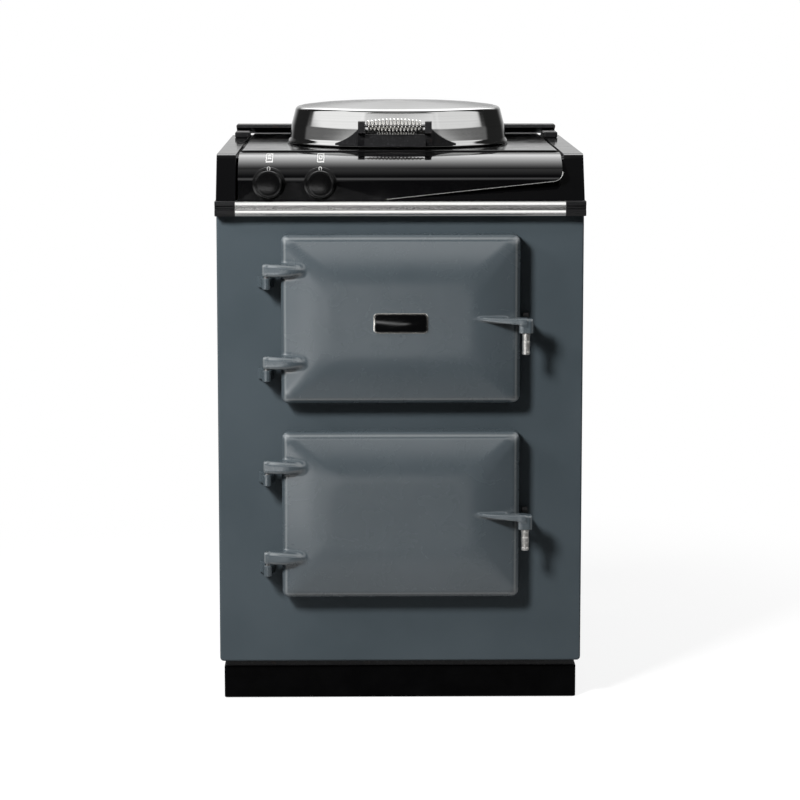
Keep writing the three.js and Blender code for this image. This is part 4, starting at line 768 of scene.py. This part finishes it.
def cast_door(side, shape):
    """Casting at its level, with a painted highlight marked along its crests and rounded edges,
    partly also where the enamel runs thin.
    """
    points, quads = shape
    mesh = bpy.data.meshes.new(f"{side}_door_cast_face")
    raised = points + np.array([0.0, 0.0, DOOR_LEVEL[side]])
    mesh.from_pydata((raised * MM).tolist(), [], quads.tolist())
    mesh.polygons.foreach_set("use_smooth", [True] * len(mesh.polygons))
    normals = slope_of(casting_field, points, 0.3)
    normals /= np.maximum(np.linalg.norm(normals, axis=1, keepdims=True), 1e-9)
    mesh.normals_split_custom_set_from_vertices(normals.tolist())
    # Mask of the painted highlight: a band on the ridge of the shoulder round the door, then the
    # rounded edges of the lugs and the arm.
    inset = np.minimum(DOOR_HALF[0] - np.abs(points[:, 0]), DOOR_HALF[1] - np.abs(points[:, 2]))
    painted_highlight = np.clip(1 - np.abs(inset - CREST_INSET) / CREST_REACH, 0.0, 1.0)
    painted_highlight = np.where(-points[:, 1] > DOOR_EDGE - 6.0, painted_highlight * painted_highlight * (3 - 2 * painted_highlight), 0.0)
    off_slab = np.abs(door_slab(points[:, 0], -points[:, 1], points[:, 2]))
    painted_highlight *= np.clip(1.5 - off_slab, 0.0, 1.0)
    # Rounded edges of the lugs and the handle arm take a weaker painted highlight.
    turned = np.clip((0.92 - np.abs(normals).max(axis=1)) / 0.12, 0.0, 1.0)
    painted_highlight = np.maximum(painted_highlight, 0.7 * turned * np.clip(off_slab - 2.0, 0.0, 1.0))
    mesh.attributes.new("crest_highlight", "FLOAT", "POINT").data.foreach_set("value", painted_highlight)
    mesh.update()
    piece(mesh, "slate_casting", f"{side}_door", (f"{side}_door_casting",))


def add_doors():
    shape = door_shape()
    for side, level in DOOR_LEVEL.items():
        body = f"{side}_door"
        cast_door(side, shape)
        refined(f"{side}_door_liner", 1.0)
        # The keepers take black iron as painted shade, so they sink into the shadow under the
        # handle arm.
        refined(f"{side}_door_keeper", 0.8, material=LOOKS["black_iron"])
        for end in LUGS:
            refined(f"{side}_door_{end}_hinge", 1.6, 4)
            refined(f"{side}_door_{end}_hinge_pin", 0.25, 2)
        grip_profile = rounded(
            [(0, -55), (5.6, -55), (6.6, -54), (6.6, -50.6), (6.1, -49.8), (6.1, -42), (6.5, -41.2),
             (6.5, -34), (6.1, -33.2), (6.1, -25), (6.6, -24), (6.6, -20.2), (3.2, -20),
             (3.2, -8.5), (0, -8.5)], 0.5, 3
        )
        grip = lathe(
            f"{side}_door_chrome_grip", grip_profile,
            lambda x, y, z: (BOSS[0] + x, -BOSS[1] + y, level + z), 40,
        )
        piece(grip, "polished_chrome", body, (f"{side}_door_grip",), SATIN)
        seal_route = []
        for u, v in rounded_box(*ROPE_SIZE, ROPE_CORNER, 10):
            seal_route.append((u, -ROPE_DEPTH, level + v))
        seal = sweep(
            f"{side}_door_rope", evenly(seal_route, ROPE_STEP), ROPE_RADIUS, 12, True,
            lobes=3, twist=0.55, bulge=0.3,
        )
        piece(seal, "rope_seal", body, (f"{side}_door_seal",))


# ---------------------------------------------------------------- lid

LID_MIDDLE = (0.0, 41.0)
LID_FOOT = 909.0
HANDLE_TURN = math.radians(-2)
COIL_AHEAD, COIL_LEVEL = 223.0, 948.0   # of the middle of the lid, and above the floor
COIL_TURNS, COIL_STEPS, COIL_PITCH = 15, 26, 6.1
COIL_END, COIL_SWELL = 6.8, 3.8         # radius at its ends, and more than that at its middle
COIL_WIRE, COIL_TAIL = 1.75, 1.6
SPINDLE, SPINDLE_PAST, SPINDLE_EDGE = 3, 12.5, 0.5


def over_lid(x, y, z):
    return (LID_MIDDLE[0] + x, LID_MIDDLE[1] + y, LID_FOOT + z)


def on_handle(x, y, z):
    """Point drawn from the middle of the coil, x along it."""
    cos, sin = math.cos(HANDLE_TURN), math.sin(HANDLE_TURN)
    y -= COIL_AHEAD
    return (LID_MIDDLE[0] + x * cos - y * sin, LID_MIDDLE[1] + x * sin + y * cos, COIL_LEVEL + z)


def add_lid():
    outside = [(188.5, 0), (190, 1.5), (189.5, 3.5), (186, 9), (183, 31), (176, 58), (173, 61.2),
               (164, 63.6), (135, 67), (106, 69), (60, 70.4)]
    inside = [(150, 62.5), (161, 60.5), (170, 58), (172.8, 55), (180, 28), (183, 6)]
    profile = [(0, 71)] + outside[::-1] + inside[::-1] + [(0, 66.5)]
    shell = lathe("lid_spun_shell", rounded(profile, 1.6, 4), over_lid, 160, 40.0)
    piece(shell, "spun_steel", "lid", ("lid_shell",))
    refined("lid_liner", 1.2)
    refined("lid_handle_bracket", 1.0)
    refined("lid_hinge_arm", 1.0)
    refined("lid_hinge_base", 0.8)
    steps = COIL_TURNS * COIL_STEPS
    half = COIL_TURNS * COIL_PITCH / 2
    coil = [on_handle(-half - COIL_TAIL, COIL_END, 0.0)]
    for step in range(steps + 1):
        share = step / steps
        reach = COIL_END + COIL_SWELL * math.sin(share * math.pi)
        turn = share * COIL_TURNS * 2 * math.pi
        coil.append(on_handle(
            (share - 0.5) * COIL_TURNS * COIL_PITCH, reach * math.cos(turn), reach * math.sin(turn)
        ))
    coil.append(on_handle(half + COIL_TAIL, COIL_END, 0.0))
    wire = sweep("lid_coil_wire", coil, COIL_WIRE, 12)
    piece(wire, "polished_chrome", "lid", ("lid_handle_coil",))
    end, tip = half + SPINDLE_PAST, SPINDLE - 0.6
    shoulder = end - SPINDLE_EDGE
    spindle = [
        (0, -end), (tip, -end), (SPINDLE, -shoulder), (SPINDLE, shoulder), (tip, end), (0, end),
    ]
    bar = lathe("lid_coil_spindle", spindle, lambda x, y, z: on_handle(z, x, y), 24)
    piece(bar, "pin_steel", "lid", ("lid_handle_rod",))


# ---------------------------------------------------------------- controls

KNOBS = {"left": -212.4, "right": -129.2}
KNOB_BACK, KNOB_LEVEL = -279.8, 859.6
POINTER, POINTER_WIRE, POINTER_STEPS = 2.3, 0.65, 28
POINTER_RISE, POINTER_AHEAD = 24.9, 4.7
FASCIA = {"front": -279.0, "depth": 87.0, "foot": 862.0, "rise": 43.0}
MARK_TURN = 61.0                        # middle of the marks on the roll, in degrees
MARK_PROUD, MARK_SUNK, BAND_POINTS = 0.12, -0.4, 64
BEAD, BEAD_STEPS, BEND_STEPS = 0.75, 40, 16
BEAD_START, BEAD_RUN = -22.0, 266.0
SWEEP_LOW, SWEEP_SPAN = (-25.0, 833.7), (272.5, 29.0)
BEND_MIDDLE, BEND_RADIUS, BEND_TURN = (247.5, 878.0), 15.3, 84.0


def on_fascia(x, along, proud):
    """Point on the roll of the fascia; along is the turn from upright to flat."""
    cos, sin = math.cos(along), math.sin(along)
    y = FASCIA["front"] + FASCIA["depth"] * (1 - cos)
    z = FASCIA["foot"] + FASCIA["rise"] * sin
    normal = np.array([-FASCIA["rise"] * cos, FASCIA["depth"] * sin])
    normal /= np.linalg.norm(normal)
    return (x, y + normal[0] * proud, z + normal[1] * proud)


def band_on_fascia(middle, outer, inner):
    """Flat ring between two outlines of (millimetres, degrees) on the roll of the fascia."""
    points, faces = [], []
    for outline in (outer, inner):
        route = evenly([(u, v, 0.0) for u, v in outline], count=BAND_POINTS)
        for proud in (MARK_PROUD, MARK_SUNK):
            for u, v, _ in route:
                points.append(on_fascia(middle + u, math.radians(MARK_TURN + v), proud))
    for first, second in ((0, 2), (2, 3), (3, 1), (1, 0)):
        faces += belt(first * BAND_POINTS, second * BAND_POINTS, BAND_POINTS)
    return mesh_of("band", points, faces, 35.0)


def add_pictogram(side, middle):
    """Plain mark over each knob: a box with two shelves, or a box with a ring."""
    bands = [(rounded_box(11.5, 33.0, 1.2, 4), rounded_box(8.9, 25.5, 0.6, 4))]
    if side == "left":
        for level in (-4.6, 5.2):
            shelf = [(u, v + level) for u, v in rounded_box(6.0, 4.2, 0.6, 4)]
            heart = [(u, v + level) for u, v in rounded_box(0.8, 0.6, 0.2, 4)]
            bands.append((shelf, heart))
    else:
        bands.append((rounded_box(6.2, 15.5, 3.0, 6), rounded_box(3.2, 8.5, 1.5, 6)))
    mark = joined(f"{side}_zone_mark", [band_on_fascia(middle, *band) for band in bands])
    piece(mark, "black_gloss", "cabinet", material=PRINT)


def add_sweep_highlight_bead():
    """Stainless bead along the edge of the cheek where it sweeps across under the fascia: a painted
    highlight for the light that edge catches.
    """
    route = []
    for step in range(BEAD_STEPS + 1):
        x = BEAD_START + BEAD_RUN * step / BEAD_STEPS
        route.append((x, SWEEP_LOW[1] + SWEEP_SPAN[1] * (x - SWEEP_LOW[0]) / SWEEP_SPAN[0]))
    for step in range(1, BEND_STEPS + 1):
        turn = math.radians(-BEND_TURN + BEND_TURN * step / BEND_STEPS)
        route.append((
            BEND_MIDDLE[0] + BEND_RADIUS * math.cos(turn),
            BEND_MIDDLE[1] + BEND_RADIUS * math.sin(turn),
        ))
    centres = []
    for x, z in route:
        rise = max(0.0, (z - FASCIA["foot"]) / FASCIA["rise"])
        centres.append(on_fascia(x, math.asin(rise), 0.1)[:2] + (z,))
    bead = sweep("cheek_sweep_highlight", centres, BEAD)
    piece(bead, "stainless", "cabinet")


def add_controls():
    add_sweep_highlight_bead()
    for name in ("fascia", "left_cheek", "right_cheek"):
        refined(name, 1.2, angle=30.0)
    for side, middle in KNOBS.items():
        def to_front(x, y, z):
            return (middle + x, KNOB_BACK - z, KNOB_LEVEL + y)
        profile = rounded([
            (0, 13), (3.4, 13), (3.4, 0), (26.2, 0), (27, 0.8), (27, 3.4), (26.2, 4.6),
            (23.2, 5.0), (22.7, 7), (22.3, 21.8), (21.3, 23.5), (20.2, 24), (19.4, 23.1),
            (15, 23.55), (10, 23.8), (5, 23.95), (0, 24),
        ], 0.6, 3)
        knob = lathe(f"{side}_turned_knob", profile, to_front, 96, 40.0)
        piece(knob, "knob_gloss", f"{side}_control", (f"{side}_knob",))
        ring = []
        for up, aside in circle(POINTER, POINTER_STEPS):
            ring.append(to_front(aside, POINTER_RISE + up, POINTER_AHEAD))
        mark = sweep(f"{side}_pointer_ring", ring, POINTER_WIRE, 8, True)
        piece(mark, "knob_gloss", f"{side}_control", material=PRINT)
        add_pictogram(side, middle)


# ---------------------------------------------------------------- badge

BADGE_DROP = 4.5        # below the middle of the door


def add_badge():
    """Bare rim and face in a plain rounded rectangle."""
    level = DOOR_LEVEL["upper"] - BADGE_DROP
    surface = DOOR_EDGE + DOOR_CROWN

    def place(u, v, w):
        return (u, -surface - w, level + v)
    rim = slab("badge_rim", rounded_box(89, 33, 7.5, 8), -0.6, 1.9, place, 0.9, 3)
    piece(rim, "polished_chrome", "upper_door")
    face = slab("badge_face", rounded_box(84, 28, 5.5, 8), 1.0, 2.3, place, 0.5, 3)
    piece(face, "black_gloss", "upper_door")


# ---------------------------------------------------------------- trim

TRIM = {"top": 831.5, "bottom": 808.0, "front": -292.0, "back": -267.3, "half": 267.0}


def add_trim():
    """Three bright flats with a groove between each, tipped up towards the light."""
    front = TRIM["front"]
    profile = rounded([
        (TRIM["back"], TRIM["top"]), (front + 1.9, TRIM["top"]), (front + 0.3, 825.0),
        (front + 0.8, 824.4), (front + 3.0, 824.2), (front + 3.0, 822.8), (front + 1.5, 822.6),
        (front + 1.3, 819.8), (front + 3.0, 819.5), (front + 3.0, 817.5), (front + 1.25, 817.3),
        (front + 0.1, 811.6), (front + 0.6, 810.8), (front + 2.6, 809.0),
        (front + 2.9, TRIM["bottom"]), (TRIM["back"], TRIM["bottom"]),
    ], 0.35, 3)
    points = []
    for x in (-TRIM["half"] + 0.05, TRIM["half"] - 0.05):
        points += [(x, y, z) for y, z in profile]
    count = len(profile)
    faces = belt(0, count, count)
    faces += [tuple(range(count)), tuple(range(2 * count - 1, count - 1, -1))]
    rail = mesh_of("trim_rail", points, faces, 26.0)
    piece(rail, "stainless", "cabinet", ("front_trim",))


# ---------------------------------------------------------------- body

def add_body():
    for name, width in {
        "left_side_panel": 0.9, "right_side_panel": 0.9, "plinth": 1.2,
        "top_plate": 0.9, "rear_upstand": 1.2, "left_trim_cap": 0.7,
        "right_trim_cap": 0.7, "rear_panel": 0.5, "terminal_box": 1.6, "cable_gland": 0.6,
        "roasting_oven": 1.8, "simmering_oven": 1.8, "base_plate": 0.8,
    }.items():
        refined(name, width)
    refined("front_plate", 1.8, material=PLATE)
    for end, side in itertools.product(("front", "rear"), ("left", "right")):
        refined(f"foot_{end}_{side}", 0.6, 2)
    add_trim()
    add_hotplate()
    for name, level in SHELF_LEVEL.items():
        add_shelf(name, level)
    add_screws()


HOTPLATE, HOTPLATE_TOP = 172, 914
FLANGE, FLANGE_BOTTOM, FLANGE_TOP = 186, 885, 895.9
GROOVES, GROOVE_PITCH, GROOVE_HALF, GROOVE_DEPTH = 13, 11.0, 0.9, 0.3


def add_hotplate():
    """Machined plate with fine turned grooves, on its flange."""
    profile = [
        (0, FLANGE_BOTTOM), (FLANGE, FLANGE_BOTTOM), (FLANGE, FLANGE_TOP), (HOTPLATE, FLANGE_TOP),
        (HOTPLATE, 912), (171.4, 913.4), (170, HOTPLATE_TOP),
    ]
    for groove in range(GROOVES):
        reach = 160.0 - GROOVE_PITCH * groove
        profile += [
            (reach + GROOVE_HALF, HOTPLATE_TOP),
            (reach, HOTPLATE_TOP - GROOVE_DEPTH),
            (reach - GROOVE_HALF, HOTPLATE_TOP),
        ]
    profile.append((0, HOTPLATE_TOP))
    plate = lathe(
        "hotplate_machined", profile,
        lambda x, y, z: (LID_MIDDLE[0] + x, LID_MIDDLE[1] + y, z), 128, 25.0,
    )
    piece(plate, "bare_iron", "cabinet", ("hotplate",))


SHELF_LEVEL = {"roasting": 650.8, "simmering": 329.2}
SHELF_HALF, SHELF_FRONT, SHELF_BACK, SHELF_CORNER = 165.0, -232.0, 164.0, 9.0
SHELF_FRAME, SHELF_BAR, SHELF_SPACES = 3.0, 2.2, 12


def add_shelf(name, level):
    """Wire frame with straight bars from front to back."""
    middle = (SHELF_FRONT + SHELF_BACK) / 2
    box = rounded_box(2 * SHELF_HALF, SHELF_BACK - SHELF_FRONT, SHELF_CORNER, 6)
    route = [(u, middle + v, level) for u, v in box]
    bars = [sweep("frame", route, SHELF_FRAME, 14, True)]
    for bar in range(1, SHELF_SPACES):
        x = -SHELF_HALF + 2 * SHELF_HALF * bar / SHELF_SPACES
        bars.append(sweep("bar", [(x, SHELF_FRONT, level), (x, SHELF_BACK, level)], SHELF_BAR))
    shelf = joined(f"{name}_wire_shelf", bars)
    piece(shelf, "shelf_wire", "cabinet", (f"{name}_shelf",))


REAR_FACE = 333.0
SCREW_SIDE, SCREW_TOP, SCREW_BOTTOM = 288.0, 895.0, 77.0


def add_screws():
    """Pan-head screws round the edge of the rear panel."""
    spots = []
    for z in np.linspace(90.0, 882.0, 6):
        spots += [(-SCREW_SIDE, z), (SCREW_SIDE, z)]
    for x in np.linspace(-192.0, 192.0, 4):
        spots += [(x, SCREW_TOP), (x, SCREW_BOTTOM)]
    head = [(0, 2.1), (1.2, 2.0), (2.8, 1.5), (3.9, 0.5), (4.1, -0.3), (0, -0.3)]
    slot = rounded_box(4.6, 0.9, 0.3, 2)
    heads = []
    for x, z in spots:
        def on_rear(u, v, w):
            return (x + u, REAR_FACE + w, z + v)
        heads.append(lathe("head", head, on_rear, 20))
        heads.append(slab("slot", slot, 1.0, 2.2, on_rear, 0.1))
    screws = joined("rear_panel_screws", heads)
    piece(screws, "pin_steel", "cabinet")


# ---------------------------------------------------------------- stage

FLOOR_RADIUS, FLOOR_LEVEL, FLOOR_STEPS = 1600.0, -0.2, 96
FLOOR_FADE = (0.75, 1.5)                # radii in metres between which it turns plain white
WHITE = rgb(1.0, 1.0, 1.0)


def add_floor():
    """Disc that looks white, keeps the shadow of the object and hides its own edge."""
    points = [(0.0, 0.0, FLOOR_LEVEL)]
    points += [(x, y, FLOOR_LEVEL) for x, y in circle(FLOOR_RADIUS, FLOOR_STEPS)]
    faces = [(0, 1 + step, 1 + (step + 1) % FLOOR_STEPS) for step in range(FLOOR_STEPS)]
    floor = placed("studio_floor", mesh_of("studio_floor", points, faces, closed=False))
    paint = Shader("studio_floor", Roughness=0.9, Specular_IOR_Level=0.0)
    reach = paint.add("ShaderNodeVectorMath", {0: paint.place}, operation="LENGTH")
    fade = paint.ramp(reach.outputs["Value"], *FLOOR_FADE)
    grain = paint.span(paint.noise(260.0, 2.0), 0.3, 0.7, 0.0, 0.06)
    pale = paint.tint(grain, rgb(0.3, 0.3, 0.3), rgb(0.28, 0.28, 0.28))
    ray = paint.add("ShaderNodeLightPath").outputs
    seen = paint.calc("MAXIMUM", ray["Is Camera Ray"], ray["Is Transmission Ray"])
    seen = paint.calc("MAXIMUM", seen, paint.calc("MULTIPLY", ray["Is Glossy Ray"], 0.1))
    lift = paint.calc("MULTIPLY", seen, paint.span(fade, 0.0, 1.0, 0.82, 1.0))
    paint.surface.inputs["Emission Color"].default_value = WHITE
    material = paint.wire(
        Base_Color=paint.tint(fade, pale, rgb(0.0, 0.0, 0.0)), Emission_Strength=lift
    )
    floor.data.materials.append(material)


BACKDROP, CEILING, STUDIO_DUSK, DIFFUSE_GLOW = 0.62, 3.0, 0.025, 0.04
PANELS = {              # strength, bearings from the front, heights, softness of the edges
    "high_left": (1.5, (-112.0, -40.0), (13.5, 58.0), 3.0),
    "high_right": (1.2, (44.0, 104.0), (13.5, 58.0), 3.0),
    "low_left": (0.18, (-118.0, -14.0), (-2.0, 13.5), 3.0),
    "low_right": (0.18, (16.0, 110.0), (-2.0, 13.5), 3.0),
    "front": (1.3, (-40.0, 44.0), (15.0, 31.0), 4.0),
    "floor_left": (3.0, (-66.0, -20.0), (-26.0, -10.5), 3.5),
    "overhead": (0.55, (-90.0, 90.0), (66.0, 120.0), 26.0),
    "floor_front": (4.8, (-24.0, 1.6), (-8.4, -6.4), 1.6),
}


def add_world():
    """White for the camera; for reflections a studio: pale behind, soft panels round it."""
    world = bpy.data.worlds.new("studio")
    bpy.context.scene.world = world
    world.use_nodes = True
    world.node_tree.nodes.clear()
    sky = Wiring(world.node_tree)
    calc, ramp = sky.calc, sky.ramp

    def patch(strength, sideways, upwards, soft):
        """Soft-edged panel of light between two bearings and two heights, in degrees."""
        window = strength
        for value, (low, high) in ((bearing, sideways), (rise, upwards)):
            window = calc("MULTIPLY", window, ramp(value, low - soft, low + soft))
            window = calc("MULTIPLY", window, ramp(value, high + soft, high - soft))
        return window

    place = sky.add("ShaderNodeTexCoord").outputs["Generated"]
    split = sky.add("ShaderNodeSeparateXYZ", {"Vector": place})
    x, y, z = (split.outputs[axis] for axis in "XYZ")
    degree = math.radians(1)
    ahead = calc("MULTIPLY", y, -1.0)
    rise = calc("DIVIDE", calc("ARCSINE", z), degree)
    bearing = calc("DIVIDE", calc("ARCTAN2", x, ahead), degree)
    off_back = calc("SUBTRACT", 180.0, calc("ABSOLUTE", bearing))
    over = calc("DIVIDE", calc("ARCTAN2", z, ahead), degree)
    backdrop = calc("MULTIPLY", ramp(off_back, 34.0, 6.0), ramp(rise, -6.0, -1.0))
    backdrop = calc("MULTIPLY", backdrop, BACKDROP)
    ceiling = calc("MULTIPLY", ramp(over, 84.0, 136.0), ramp(over, 168.0, 150.0))
    ceiling = calc("MULTIPLY", ceiling, ramp(calc("ABSOLUTE", x), 0.55, 0.3))
    studio = calc("MAXIMUM", backdrop, calc("MULTIPLY", ceiling, CEILING))
    studio = calc("ADD", studio, STUDIO_DUSK)
    for panel in PANELS.values():
        studio = calc("ADD", studio, patch(*panel))
    ray = sky.add("ShaderNodeLightPath").outputs
    plain = calc("MAXIMUM", ray["Is Camera Ray"], ray["Is Transmission Ray"])
    glossy = ray["Is Glossy Ray"]
    rest = calc("SUBTRACT", 1.0, calc("MAXIMUM", plain, glossy))
    strength = calc("ADD", plain, calc("MULTIPLY", glossy, studio))
    strength = calc("ADD", strength, calc("MULTIPLY", rest, DIFFUSE_GLOW))
    background = sky.add("ShaderNodeBackground", {"Color": WHITE, "Strength": strength})
    sky.add("ShaderNodeOutputWorld", {"Surface": background.outputs[0]})


LAMPS = {               # place, point aimed at, side of the square in metres, watts
    "key": ((-1.3, -2.3, 2.1), (0.0, -0.2, 0.5), 0.55, 98.0),
    "side": ((-3.1, -1.6, 2.8), (0.0, -0.2, 0.5), 0.7, 42.0),
    "fill": ((3.4, 0.9, 1.9), (0.0, 0.0, 0.5), 1.0, 75.0),
}


def add_lamp(name, place, aim, side, power):
    light = bpy.data.lights.new(name, "AREA")
    light.shape = "RECTANGLE"
    light.size, light.size_y = side, side
    light.energy = power
    lamp = placed(name, light)
    lamp.visible_glossy = False
    lamp.location = place
    lamp.rotation_euler = (Vector(aim) - Vector(place)).to_track_quat("-Z", "Y").to_euler()


CAMERA_PLACE = (-0.0628, -4.7247, 1.1805)
LOOK_DOWN, LOOK_ASIDE = 7.793, -0.8     # in degrees


def add_camera():
    data = bpy.data.cameras.new("camera")
    data.sensor_width = 36.0
    data.lens = 123.96
    data.shift_y = -0.05
    camera = placed("camera", data)
    camera.location = CAMERA_PLACE
    camera.rotation_euler = (math.radians(90 - LOOK_DOWN), 0.0, math.radians(LOOK_ASIDE))
    bpy.context.scene.camera = camera


for node_name, node_object in NODES.items():
    node_object.data.materials.clear()
    node_object.data.materials.append(LOOKS[SLOT_OF[node_name]])

add_camera()
add_body()
add_controls()
add_doors()
add_lid()
add_badge()
add_floor()
add_world()
for lamp_name, lamp in LAMPS.items():
    add_lamp(lamp_name, *lamp)
bpy.context.scene.view_settings.view_transform = "Standard"
